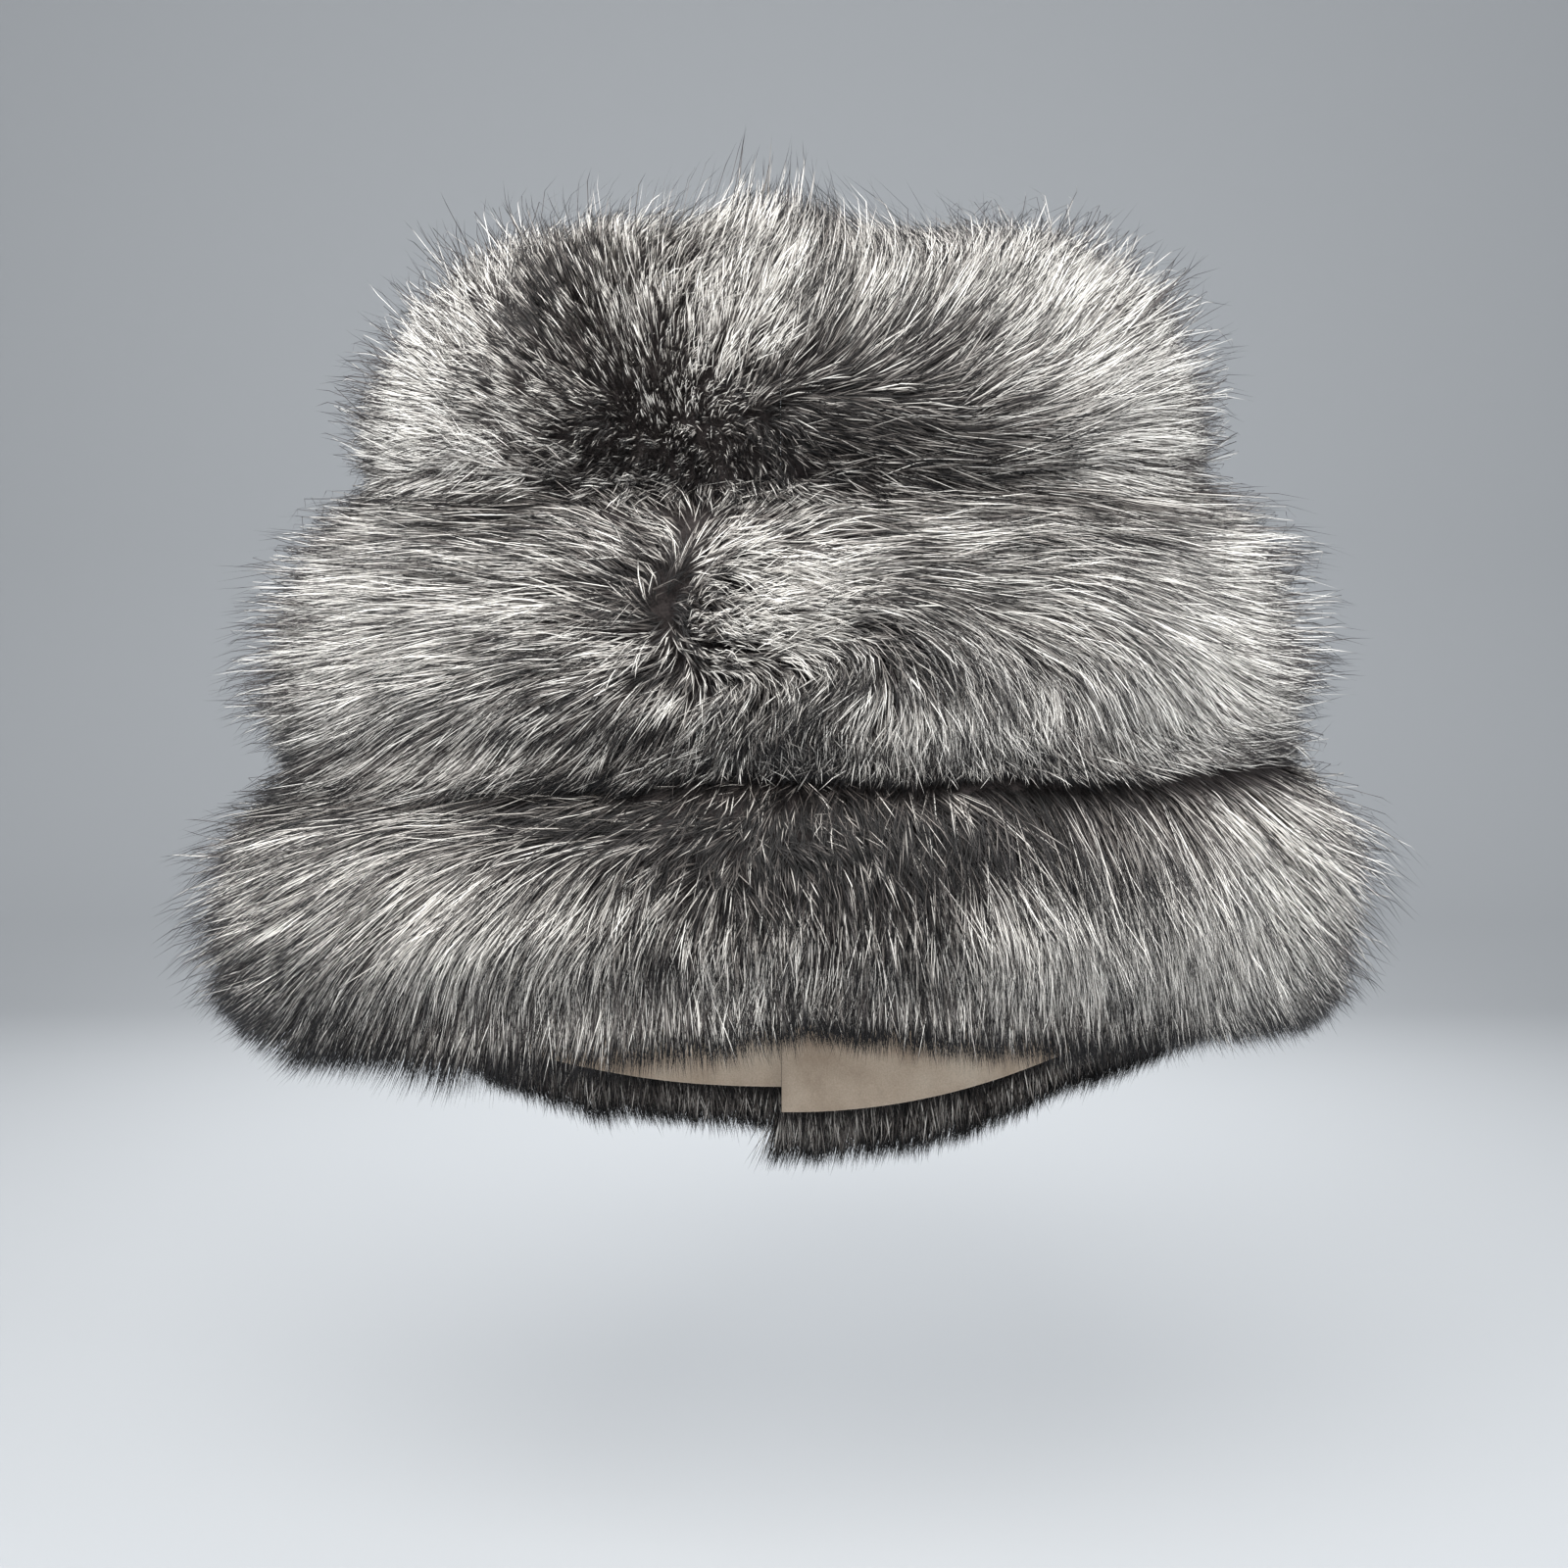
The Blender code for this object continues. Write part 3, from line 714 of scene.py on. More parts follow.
def strand_paths(row, side, q0, a0, comb, rng, points, long_share, high, layer):
    """Middle line, directions and normals of each hair, and what its colour needs."""
    n = len(q0)
    girth, depth = GIRTH[row], DEPTH[row]
    u, v = q0 * girth, (row + a0) * depth
    # tufts in two sizes: hairs of a tuft share their bend and meet towards their tips
    bu, bv, big = tufts(u, v, 0.026, 7 + row)
    cu, cv, small = tufts(u, v, 0.0078, 31 + row)
    rand_big = lambda k: scramble(big, big * 0 + k, 3)
    rand_small = lambda k: scramble(small, small * 0 + k, 5)
    field = comb(q0, a0)
    lift, length, mess, tone_and_shade, crest = (field[:, k] for k in range(2, 7))
    mess = np.clip(mess, 0, 1)
    swing = (
        waves(u, v, 0.045, 11) * 8.0
        + (rand_big(1) - 0.5) * (12.0 + 40.0 * mess)
        + (rand_small(2) - 0.5) * (7.0 + 140.0 * mess)
        + rng.normal(0, 1, n) * (6.5 + 9.0 * mess)
    )
    turn = np.radians(swing)
    tall = long_share * length * (0.84 + 0.30 * rng.random(n)) * (0.94 + 0.12 * rand_small(4))
    core = np.clip(1 - np.hypot(u - cu, v - cv) / 0.0058, 0, 1) - 0.40
    proud = 0.16 * (rand_big(5) - 0.5) + 0.16 * (rand_small(6) - 0.5) + 0.16 * core
    height = high * (1 + proud) * (1 + crest)
    loose = rng.random(n)
    if layer == "under":
        height *= 0.70 + 0.36 * loose
    elif layer == "guard":
        height *= 0.84 + 0.24 * loose
        stray = rng.random(n) < 0.20
        height = np.where(stray, height * (1.12 + 0.36 * loose), height)
        tall = np.where(stray, tall * 1.12, tall)
        if row < 2:
            outer = stray & (np.abs(np.abs(q0) - 0.385) < 0.10)
            tall = np.where(outer, tall * 1.14, tall)
            height = np.where(outer, height * 1.10, height)
    # where the hair leaves the undercoat
    P0, N0, TQ0, TD0, sq0, sd0 = skin(q0, row + a0)
    full0 = share(row, a0) * reach(row, q0)
    start = full0 * 0.24
    if layer == "edge":
        start = start * 0.15 * loose
        height = high * (0.04 + (0.75 if row else 0.95) * loose)
    rise = np.maximum(full0 * height - start, 0.008)
    # the more it lifts the less it travels
    run = np.sqrt(np.maximum(tall**2 - rise**2, (0.35 * tall) ** 2)) * (1.0 - 0.55 * np.clip(lift - 0.3, 0, 1))
    # walk over the skin along the combing
    steps = 8
    s = np.linspace(0, 1, steps + 1)
    q, d = q0.copy(), row + a0
    way = None
    Q, D = [q], [d]
    for k in range(steps):
        f = comb(q, d - row)
        want = np.arctan2(f[:, 1], f[:, 0]) + turn * (1 - 0.4 * s[k])
        if layer == "edge":
            fan = (loose * 7.0) % 1.0 - 0.5
            want = (math.pi / 2 if row else -math.pi / 2) + 0.5 * turn + (0.5 if row else 3.2) * fan
        if way is not None:
            change = (want - way + math.pi) % (2 * math.pi) - math.pi
            want = way + np.clip(change, -0.40, 0.40) * 0.75
        way = want
        _, _, _, _, sq, sd = skin(q, d)
        go = run * (s[k + 1] ** 1.12 - s[k] ** 1.12)
        q = q + np.cos(way) * go / np.maximum(sq, 0.05)
        d = d + np.sin(way) * go / np.maximum(sd, 0.05)
        Q.append(q)
        D.append(d)
    Q, D = np.stack(Q, 1), np.stack(D, 1)
    # how far it may fall over the seam below, or stand up under the row above
    hang = np.interp(q0, *np.array(OVERHANG[row]).T) / depth
    ragged = 0.9 * waves(u, v * 0, 0.055, 61) + 0.5 * (rand_big(12) - 0.5) + 0.5 * (rand_small(13) - 0.5) + 0.30 * rng.normal(0, 1, n)
    low = row + 1.0 + hang + (0.050, 0.085, 0.070)[row] * ragged
    over = np.maximum(D[:, -1] - low, 0) * (0.92 if row < 2 else 0.86)
    top = (row - (0.02 if row else 0.12)) - 0.03 * rng.random(n) - 0.08 * np.clip(crest, 0, 2)
    over = over - np.maximum(top - D[:, -1], 0) * 0.9
    D = D - over[:, None] * s[None, :] ** 1.2
    # pull towards the tuft's middle
    pull = ((0.20 + 0.56 * rand_small(8)) * (1 - 0.20 * mess))[:, None] * s[None, :] ** 1.3
    Q = Q - pull * ((u - cu) / girth)[:, None]
    D = D - pull * ((v - cv) / depth)[:, None]
    pull = ((0.06 + 0.24 * rand_big(9)) * (1 - 0.8 * mess))[:, None] * s[None, :] ** 1.3
    Q = Q - pull * ((u - bu) / girth)[:, None]
    D = D - pull * ((v - bv) / depth)[:, None]
    # fewer points for the blade itself
    keep = np.array(points)
    x = keep * steps
    i = np.minimum(x.astype(int), steps - 1)
    Q = Q[:, i] * (1 - (x - i)) + Q[:, i + 1] * (x - i)
    D = D[:, i] * (1 - (x - i)) + D[:, i + 1] * (x - i)
    s = keep
    P, N, TQ, TD, _, _ = skin(Q, D)
    full = share(row, D - row) * reach(row, Q)
    h_tip = full[:, -1] * height
    bend = 1 - (1 - s[None, :]) ** (1.7 - 0.5 * lift[:, None])
    H = start[:, None] + (h_tip - start)[:, None] * bend
    # stiff hair keeps its line where the body curves away under it
    way0 = np.arctan2(field[:, 1], field[:, 0]) + turn
    F0 = TQ0 * np.cos(way0)[:, None] + TD0 * np.sin(way0)[:, None]
    straight = P0[:, None] + F0[:, None] * (run[:, None] * s[None, :] ** 1.12)[..., None]
    away = np.clip(((straight - P) * N).sum(-1), -0.004, 0.022)
    H = H + (away - 0.88 * away[:, -1:] * s[None, :]) * (0.0 if layer == "edge" else 0.9)
    C = P + N * H[..., None]
    # a little wander of each hair, and its weight
    wander = waves(u[:, None] + s * 0.03, v[:, None] + rng.random(n)[:, None] * 9, 0.02, 17) * 0.0012
    C = C + TQ * (wander * s)[..., None]
    C[..., 2] -= (s[None, :] ** 2) * (0.003 + 0.003 * rng.random(n))[:, None]
    T = unit(np.gradient(C, axis=1))
    # each row is rounded like a roll, and the hair lies along that rounding
    lean = slope(row, D - row) * reach(row, Q) / depth
    N = unit(N - TD * (0.80 * lean)[..., None])
    look = {
        "stray": stray if layer == "guard" else np.zeros(n, bool), "tone_and_shade": tone_and_shade, "small": rand_small(10), "big": rand_big(11), "mess": mess, "lift": lift,
        "proud": proud, "core": core, "q": q0, "along": a0, "row": row,
    }  # fmt: skip
    return C, T, N, s, look


def blades(C, T, N, s, width, roll, kind, tone):
    """Flat tapered blades, a point at both ends and a pair of edge points at each place between."""
    n, m, _ = C.shape
    across = unit(np.cross(T, N))
    up = unit(np.cross(across, T))
    c, r = np.cos(roll)[:, None, None], np.sin(roll)[:, None, None]
    wide = across * c + up * r
    face = up * c - across * r
    taper = np.interp(s, [0, 0.2, 0.55, 0.8, 1.0], [0.7, 1.0, 1.0, 0.72, 0.0])
    # vertex list of a blade: root, then left and right of each place between, then tip
    at = np.array([0] + [k for k in range(1, m - 1) for _ in (0, 1)] + [m - 1])
    sign = np.array([0.0] + [-1.0, 1.0] * (m - 2) + [0.0])
    half = 0.5 * width[:, None] * (sign * taper[at])[None, :]
    V = C[:, at] + wide[:, at] * half[..., None]
    normal = unit(face[:, at] * 0.40 + N[:, at] * 0.75 + wide[:, at] * (0.50 * sign)[None, :, None])
    tri = [(0, 2, 1)]
    for k in range(m - 3):
        a = 1 + 2 * k
        tri += [(a, a + 1, a + 3), (a, a + 3, a + 2)]
    last = 2 * (m - 2)
    tri.append((last - 1, last, last + 1))
    w = len(at)
    faces = (np.arange(n)[:, None, None] * w + np.array(tri)[None]).reshape(-1, 3)
    U = (tone[:, None] + 0.5 + 0.30 * sign[None, :]) / TONES
    W = (kind[:, None] + 0.02 + 0.96 * s[at][None, :]) / KINDS
    return (
        V.reshape(-1, 3),
        faces,
        normal.reshape(-1, 3),
        np.stack([U, np.broadcast_to(W, U.shape)], -1).reshape(-1, 2),
        np.broadcast_to(s[at][None, :], (n, w)).reshape(-1),
        np.repeat(tone / (TONES - 1.0), w),
        np.repeat(kind, w),
    )


def hair_look(look, layer, rng):
    """Kind and tone of each hair."""
    n = len(look["tone_and_shade"])
    # the fur's own tone at random by tuft, with painted light and shade: the patches, taller tufts and the middles
    # of tufts painted lighter, painted shade between the locks
    tone_and_shade = look["tone_and_shade"] * 1.25 + 0.42 * (look["small"] - 0.5) + 0.62 * (look["big"] - 0.5) + 0.8 * look["proud"] + 0.50 * look["core"]
    rim = np.exp(-(((np.abs(look["q"]) - 0.385) / 0.10) ** 2))
    neck = np.zeros(n)
    if look["row"] == 2:
        hem = np.clip((look["along"] - 0.66) / 0.26, 0, 1)
        rim = np.maximum(rim, hem)
        tone_and_shade = tone_and_shade - 0.26 * hem
    if look["row"] == 0:
        neck = np.exp(-((look["along"] / 0.20) ** 2)) * (1 - 0.8 * np.exp(-(((look["q"] - 0.07) / 0.06) ** 2)))
        neck = np.where(np.abs(look["q"]) < 0.5, neck, 0.4 * neck)
    tone = 0.55 + 0.44 * tone_and_shade + rng.normal(0, 0.28, n)
    # the under hair is darker, partly the wool's own colour and partly painted shade under the guard hair; the edge
    # hair hanging from the hem gets painted shade, the neck's edge hair is a little darker
    if layer != "guard":
        tone -= 0.26 if layer == "under" else np.where(look["along"] > 0.5, 0.36, 0.10)
    pick = rng.random(n)
    mess = np.clip(look["mess"], 0, 1)
    dark = np.clip(0.25 - 0.42 * tone_and_shade + 0.06 * mess + 0.42 * neck, 0.04, 0.88)
    long_tip = np.clip(0.34 - 0.20 * tone_and_shade + 0.42 * np.maximum(rim, neck), 0.1, 0.9)
    kind = np.where(pick < dark, 2, np.where(pick < dark + long_tip, 1, 0))
    kind = np.where(pick > 0.945 - 0.22 * np.clip(tone_and_shade, 0, 1) - 0.08 * mess * np.clip(1 + tone_and_shade, 0, 1) + 0.22 * np.maximum(rim, neck), 3, kind)
    kind = np.where(look["stray"] & (rng.random(n) < 0.85), np.where(pick < 0.35 + 0.60 * np.maximum(rim, neck), 2, 1), kind)
    return kind.astype(int), np.clip(np.round(tone * (TONES - 1)), 0, TONES - 1).astype(int)


def mesh_of(name, parts, material):
    V, F, NV, UV, S, TO, KI = [], [], [], [], [], [], []
    base = 0
    for v, f, nv, uv, along, tone, kind in parts:
        V.append(v)
        F.append(f + base)
        NV.append(nv)
        UV.append(uv)
        S.append(along)
        TO.append(tone)
        KI.append(kind)
        base += len(v)
    V, F, NV, UV = (np.concatenate(x) for x in (V, F, NV, UV))
    S, TO, KI = (np.concatenate(x) for x in (S, TO, KI))
    mesh = bpy.data.meshes.new(name)
    mesh.vertices.add(len(V))
    mesh.vertices.foreach_set("co", V.astype(np.float32).ravel())
    mesh.loops.add(F.size)
    mesh.loops.foreach_set("vertex_index", F.astype(np.int32).ravel())
    mesh.polygons.add(len(F))
    mesh.polygons.foreach_set("loop_start", np.arange(0, F.size, 3, dtype=np.int32))
    mesh.polygons.foreach_set("loop_total", np.full(len(F), 3, np.int32))
    mesh.update(calc_edges=True)
    layer = mesh.uv_layers.new(name="OFBake")
    layer.data.foreach_set("uv", UV[F.ravel()].astype(np.float32).ravel())
    for key, values in (("strand", S), ("tone", TO), ("kind", KI)):
        mesh.attributes.new(key, "FLOAT", "POINT").data.foreach_set("value", values.astype(np.float32))
    mesh.polygons.foreach_set("use_smooth", np.ones(len(F), bool))
    mesh.normals_split_custom_set_from_vertices(NV.astype(np.float32).tolist())
    mesh.materials.append(material)
    obj = bpy.data.objects.new(name, mesh)
    bpy.context.scene.collection.objects.link(obj)
    return obj


# ---------------------------------------------------------------- materials
def node(tree, kind, where=(0, 0), **values):
    made = tree.nodes.new(kind)
    made.location = where
    for key, value in values.items():
        setattr(made, key, value)
    return made


def ramp(tree, stops, source, where):
    made = node(tree, "ShaderNodeValToRGB", where)
    made.color_ramp.interpolation = "LINEAR"
    points = made.color_ramp.elements
    while len(points) > 1:
        points.remove(points[-1])
    points[0].position, points[0].color = stops[0][0], (*stops[0][1], 1.0)
    for at, colour in stops[1:]:
        points.new(at).color = (*colour, 1.0)
    tree.links.new(source, made.inputs["Fac"])
    return made.outputs["Color"]


def mix(tree, a, b, factor, where, blend="MIX"):
    made = node(tree, "ShaderNodeMix", where, data_type="RGBA", blend_type=blend)
    ins = {s.identifier: s for s in made.inputs}
    for key, value in (("Factor_Float", factor), ("A_Color", a), ("B_Color", b)):
        if isinstance(value, bpy.types.NodeSocket):
            tree.links.new(value, ins[key])
        elif isinstance(value, (int, float)):
            ins[key].default_value = value
        else:
            ins[key].default_value = (*value, 1.0)
    return next(s for s in made.outputs if s.identifier == "Result_Color")


def maths(tree, operation, a, b, where, clamp=False):
    made = node(tree, "ShaderNodeMath", where, operation=operation, use_clamp=clamp)
    for socket, value in zip(made.inputs, (a, b)):
        if isinstance(value, bpy.types.NodeSocket):
            tree.links.new(value, socket)
        else:
            socket.default_value = value
    return made.outputs[0]


def hair_material(name, warm):
    """Banded fox hair: dark brown root, silver band, black tip, by strand, tone and kind."""
    m = bpy.data.materials.new(name)
    m.use_nodes = True
    t = m.node_tree
    bsdf = t.nodes["Principled BSDF"]
    read = lambda key, y: node(t, "ShaderNodeAttribute", (-1400, y), attribute_name=key).outputs["Fac"]
    strand, tone, kind = read("strand", 300), read("tone", 0), read("kind", -300)
    root = (0.016, 0.0115, 0.0115)
    wool = (0.060, 0.052, 0.050)
    tip = (0.0085, 0.008, 0.0095)
    white = (0.86, 0.845 - 0.01 * warm, 0.81 - 0.02 * warm)
    grey = (0.42, 0.405, 0.385)
    silver = ramp(
        t,
        ((0.0, root), (0.20, root), (0.34, wool), (0.44, grey), (0.52, white), (0.80, white), (0.885, grey), (0.94, tip), (1.0, tip)),
        strand,
        (-1100, 500),
    )
    tipped = ramp(
        t,
        ((0.0, root), (0.18, root), (0.30, wool), (0.40, grey), (0.46, white), (0.64, white), (0.72, grey), (0.79, tip), (1.0, tip)),
        strand,
        (-1100, 250),
    )
    dark = ramp(
        t,
        ((0.0, root), (0.30, root), (0.46, (0.045, 0.038, 0.037)), (0.58, (0.10, 0.09, 0.088)), (0.68, (0.03, 0.026, 0.026)), (0.8, tip), (1.0, tip)),
        strand,
        (-1100, 0),
    )
    pale = ramp(
        t,
        ((0.0, root), (0.25, wool), (0.38, grey), (0.48, white), (0.97, white), (1.0, grey)),
        strand,
        (-1100, -250),
    )
    is_one = maths(t, "COMPARE", kind, 1.0, (-1100, -500))
    is_two = maths(t, "COMPARE", kind, 2.0, (-1100, -650))
    is_three = maths(t, "COMPARE", kind, 3.0, (-1100, -800))
    for s in (is_one, is_two, is_three):
        s.node.inputs[2].default_value = 0.4
    colour = mix(t, silver, tipped, is_one, (-700, 350))
    colour = mix(t, colour, dark, is_two, (-500, 300))
    colour = mix(t, colour, pale, is_three, (-300, 250))
    # a darker hair is browner and greyer in its band; the tone holds the fur's own tone together with painted light
    # and shade
    level = ramp(
        t,
        ((0.0, (0.075, 0.066, 0.063)), (0.25, (0.29, 0.272, 0.263)), (0.5, (0.63, 0.615, 0.60)), (0.8, (0.96, 0.955, 0.945)), (1.0, (1.10, 1.095, 1.08))),
        tone,
        (-700, -100),
    )
    colour = mix(t, colour, level, 1.0, (-100, 200), "MULTIPLY")
    t.links.new(colour, bsdf.inputs["Base Color"])
    bsdf.inputs["Roughness"].default_value = 0.46
    bsdf.inputs["Specular IOR Level"].default_value = 0.27
    bsdf.inputs["Metallic"].default_value = 0.0
    return m


def undercoat_material():
    """Dense wool at the hair's roots: near black brown, felted in fine fibres."""
    m = bpy.data.materials.new("fox_underfur")
    m.use_nodes = True
    t = m.node_tree
    bsdf = t.nodes["Principled BSDF"]
    where = node(t, "ShaderNodeTexCoord", (-1300, 0)).outputs["Object"]
    coarse = node(t, "ShaderNodeTexNoise", (-1000, 200))
    coarse.inputs["Scale"].default_value = 60.0
    coarse.inputs["Detail"].default_value = 4.0
    fine = node(t, "ShaderNodeTexNoise", (-1000, -100))
    fine.inputs["Scale"].default_value = 520.0
    fine.inputs["Detail"].default_value = 3.0
    for made in (coarse, fine):
        t.links.new(where, made.inputs["Vector"])
    colour = ramp(
        t, ((0.30, (0.020, 0.016, 0.016)), (0.55, (0.042, 0.035, 0.034)), (0.75, (0.080, 0.068, 0.066))), coarse.outputs[0], (-700, 200)
    )
    light = ramp(t, ((0.35, (0.5, 0.5, 0.5)), (0.7, (1.0, 1.0, 1.0))), fine.outputs[0], (-700, -50))
    t.links.new(mix(t, colour, light, 1.0, (-400, 100), "MULTIPLY"), bsdf.inputs["Base Color"])
    bump = node(t, "ShaderNodeBump", (-400, -200))
    bump.inputs["Strength"].default_value = 0.7
    bump.inputs["Distance"].default_value = 0.002
    t.links.new(fine.outputs[0], bump.inputs["Height"])
    t.links.new(bump.outputs[0], bsdf.inputs["Normal"])
    bsdf.inputs["Roughness"].default_value = 0.9
    bsdf.inputs["Specular IOR Level"].default_value = 0.15
    return m


def skin_material():
    """Dressed fox skin: pale suede, mottled, with the closely stitched joins along its edges."""
    m = bpy.data.materials.new("fox_skin_suede")
    m.use_nodes = True
    t = m.node_tree
    bsdf = t.nodes["Principled BSDF"]
    where = node(t, "ShaderNodeTexCoord", (-1500, 0)).outputs["Object"]
    blotch = node(t, "ShaderNodeTexNoise", (-1200, 300))
    blotch.inputs["Scale"].default_value = 16.0
    blotch.inputs["Detail"].default_value = 5.0
    nap = node(t, "ShaderNodeTexNoise", (-1200, 0))
    nap.inputs["Scale"].default_value = 700.0
    nap.inputs["Detail"].default_value = 3.0
    for made in (blotch, nap):
        t.links.new(where, made.inputs["Vector"])
    colour = ramp(
        t,
        ((0.28, (0.40, 0.31, 0.23)), (0.5, (0.56, 0.46, 0.36)), (0.72, (0.68, 0.59, 0.48))),
        blotch.outputs[0],
        (-900, 300),
    )
    light = ramp(t, ((0.3, (0.80, 0.79, 0.78)), (0.7, (1.0, 1.0, 1.0))), nap.outputs[0], (-900, 0))
    colour = mix(t, colour, light, 1.0, (-600, 200), "MULTIPLY")
    # stitches: "seam" is metres from the nearest sewn edge, "run" metres along it
    seam = node(t, "ShaderNodeAttribute", (-1500, -400), attribute_name="seam").outputs["Fac"]
    run = node(t, "ShaderNodeAttribute", (-1500, -600), attribute_name="run").outputs["Fac"]
    wave = maths(t, "SINE", maths(t, "MULTIPLY", run, 2 * math.pi / 0.0022, (-1300, -600)), 0.0, (-1150, -600))
    thread = maths(t, "GREATER_THAN", wave, 0.1, (-1000, -600))
    near = maths(t, "LESS_THAN", seam, 0.0024, (-1000, -450))
    stitched = maths(t, "MULTIPLY", thread, near, (-800, -500))
    colour = mix(t, colour, (0.26, 0.22, 0.19), stitched, (-350, 150))
    t.links.new(colour, bsdf.inputs["Base Color"])
    bump = node(t, "ShaderNodeBump", (-350, -200))
    bump.inputs["Strength"].default_value = 0.5
    bump.inputs["Distance"].default_value = 0.0008
    height = maths(t, "ADD", nap.outputs[0], maths(t, "MULTIPLY", stitched, 0.8, (-600, -400)), (-500, -300))
    t.links.new(height, bump.inputs["Height"])
    t.links.new(bump.outputs[0], bsdf.inputs["Normal"])
    bsdf.inputs["Roughness"].default_value = 0.88
    bsdf.inputs["Specular IOR Level"].default_value = 0.2
    bsdf.inputs["Sheen Weight"].default_value = 0.25
    bsdf.inputs["Sheen Roughness"].default_value = 0.5
    return m


# ---------------------------------------------------------------- undercoat and skins
def grid_mesh(name, P, material, flip, closed=True, attributes=()):
    """A mesh from a grid of points: rows are open, columns close round into a tube with end caps."""
    n, m, _ = P.shape
    index = np.arange(n * m).reshape(n, m)
    nxt = np.roll(index, -1, 1)
    quads = np.stack([index[:-1], nxt[:-1], nxt[1:], index[1:]], -1).reshape(-1, 4)
    faces = [tuple(f) for f in quads.tolist()]
    for i, turn in ((0, True), (n - 1, False)):
        ring = index[i].tolist()
        lo, hi = 0, m - 1
        while hi - lo >= 2:
            one = (ring[hi], ring[lo], ring[lo + 1])
            faces.append(one if turn else one[::-1])
            lo += 1
            if hi - lo >= 2:
                two = (ring[hi - 1], ring[hi], ring[lo])
                faces.append(two if turn else two[::-1])
                hi -= 1
    if flip:
        faces = [f[::-1] for f in faces]
    mesh = bpy.data.meshes.new(name)
    mesh.from_pydata(P.reshape(-1, 3).tolist(), [], faces)
    mesh.validate()
    mesh.shade_smooth()
    for key, values in attributes:
        mesh.attributes.new(key, "FLOAT", "POINT").data.foreach_set("value", values.astype(np.float32).ravel())
    mesh.materials.append(material)
    obj = bpy.data.objects.new(name, mesh)
    bpy.context.scene.collection.objects.link(obj)
    return obj


def undercoat(row, side, material):
    """The felted roots: a bumpy form at under half the hair's reach, closed over the skin."""
    columns = 72
    f = np.linspace(0, 1, columns + 1) ** 1.0
    q = f * side
    rim = np.linspace(0.0, 1.0, 26)
    down = [row + rim]
    beyond = [np.zeros(len(rim))]
    out = [0.30 * share(row, rim)]
    if row == 0:
        down.insert(0, np.array([0.0, 0.0]))
        beyond.insert(0, np.array([-0.006, -0.004]))
        out.insert(0, np.array([0.03, 0.16]))
    if row == 2:
        down.append(np.array([3.0, 3.0, 3.0]))
        beyond.append(np.array([0.0006, 0.0010, 0.0006]))
        out.append(np.array([0.20, 0.11, 0.03]))
    else:
        out[-1][-1] = 0.13
    if row:
        out[0][0] = 0.10
    down, beyond, out = (np.concatenate(x) for x in (down, beyond, out))
    down_in = row + np.linspace(0.995, 0.005, 12)
    beyond_in, out_in = np.zeros(12), np.zeros(12)
    if row == 2:
        down_in = np.append([3.0], down_in)
        beyond_in, out_in = np.append([0.0003], beyond_in), np.append([0.0], out_in)
    down, beyond, out = np.append(down, down_in), np.append(beyond, beyond_in), np.append(out, out_in)
    Q, D = np.meshgrid(q, down, indexing="ij")
    P, N, TQ, TD, sq, sd = skin(Q, D)
    full = reach(row, Q)
    u, v = Q * GIRTH[row], D * DEPTH[row]
    bump = 1 + 0.16 * waves(u, v, 0.012, 41) + 0.10 * waves(u, v, 0.030, 43)
    h = np.where(out[None, :] > 0, GAP * 2 + out[None, :] * full * bump, GAP)
    P = P + N * h[..., None] + TD * beyond[None, :, None]
    edge = GAP / 2
    P[0, :, 0] = side * edge
    P[-1, :, 0] = side * edge
    P[..., 0] = np.where(P[..., 0] * side < edge, side * edge, P[..., 0])
    return grid_mesh(f"underfur_{ROWS[row]}_{'left' if side > 0 else 'right'}", P, material, side < 0)


def pelt(row, side, material):
    """One strip's dressed skin, 2 mm, a little uneven, with the ridge of its sewn edges inside."""
    columns, steps = 72, 20
    q = np.linspace(0, 1, columns + 1) * side
    a = np.concatenate([[0.0, 0.010, 0.022], np.linspace(0.05, 0.95, steps), [0.978, 0.990, 1.0]])
    edge = GAP / 2
    length = DEPTH[row]
    Q, A = np.meshgrid(q, a, indexing="ij")
    P, N, TQ, TD, sq, sd = skin(Q, row + A)
    beyond = np.zeros(len(a))
    beyond[0] = edge if row else 0.0
    beyond[-1] = -edge
    P = P + TD * beyond[None, :, None]
    u, v = Q * GIRTH[row], (row + A) * length
    sewn = np.minimum(A if row else A + 1, (1 - A) if row < 2 else (2 - A)) * length
    sewn = np.minimum(sewn, np.abs(Q) * GIRTH[row])
    free = np.minimum(A if row == 0 else A + 1, (1 - A) if row == 2 else 2 - A) * length
    free = np.minimum(free, (1 - np.abs(Q)) * GIRTH[row])
    ridge = 0.0016 * np.exp(-((sewn / 0.0035) ** 2)) + 0.0008 * np.exp(-((free / 0.003) ** 2))
    sag = 0.0009 * waves(u, v, 0.05, 51) + 0.0004 * waves(u, v, 0.016, 53)
    top = P - N * (0.0001 + 0.0 * sag)[..., None]
    low = P - N * (SKIN + ridge + 0.5 * (sag + 0.0009))[..., None]
    for X in (top, low):
        X[0, :, 0] = side * edge
        X[-1, :, 0] = side * edge
    ring = np.concatenate([top, low[:, ::-1]], 1)
    seam = np.concatenate([sewn, sewn[:, ::-1]], 1)
    across = np.where(np.abs(Q) * GIRTH[row] < 0.01, v, u)
    run = np.concatenate([across, across[:, ::-1]], 1)
    return grid_mesh(
        f"skin_{ROWS[row]}_{'left' if side > 0 else 'right'}", ring, material, side < 0, True, (("seam", seam), ("run", run))
    )


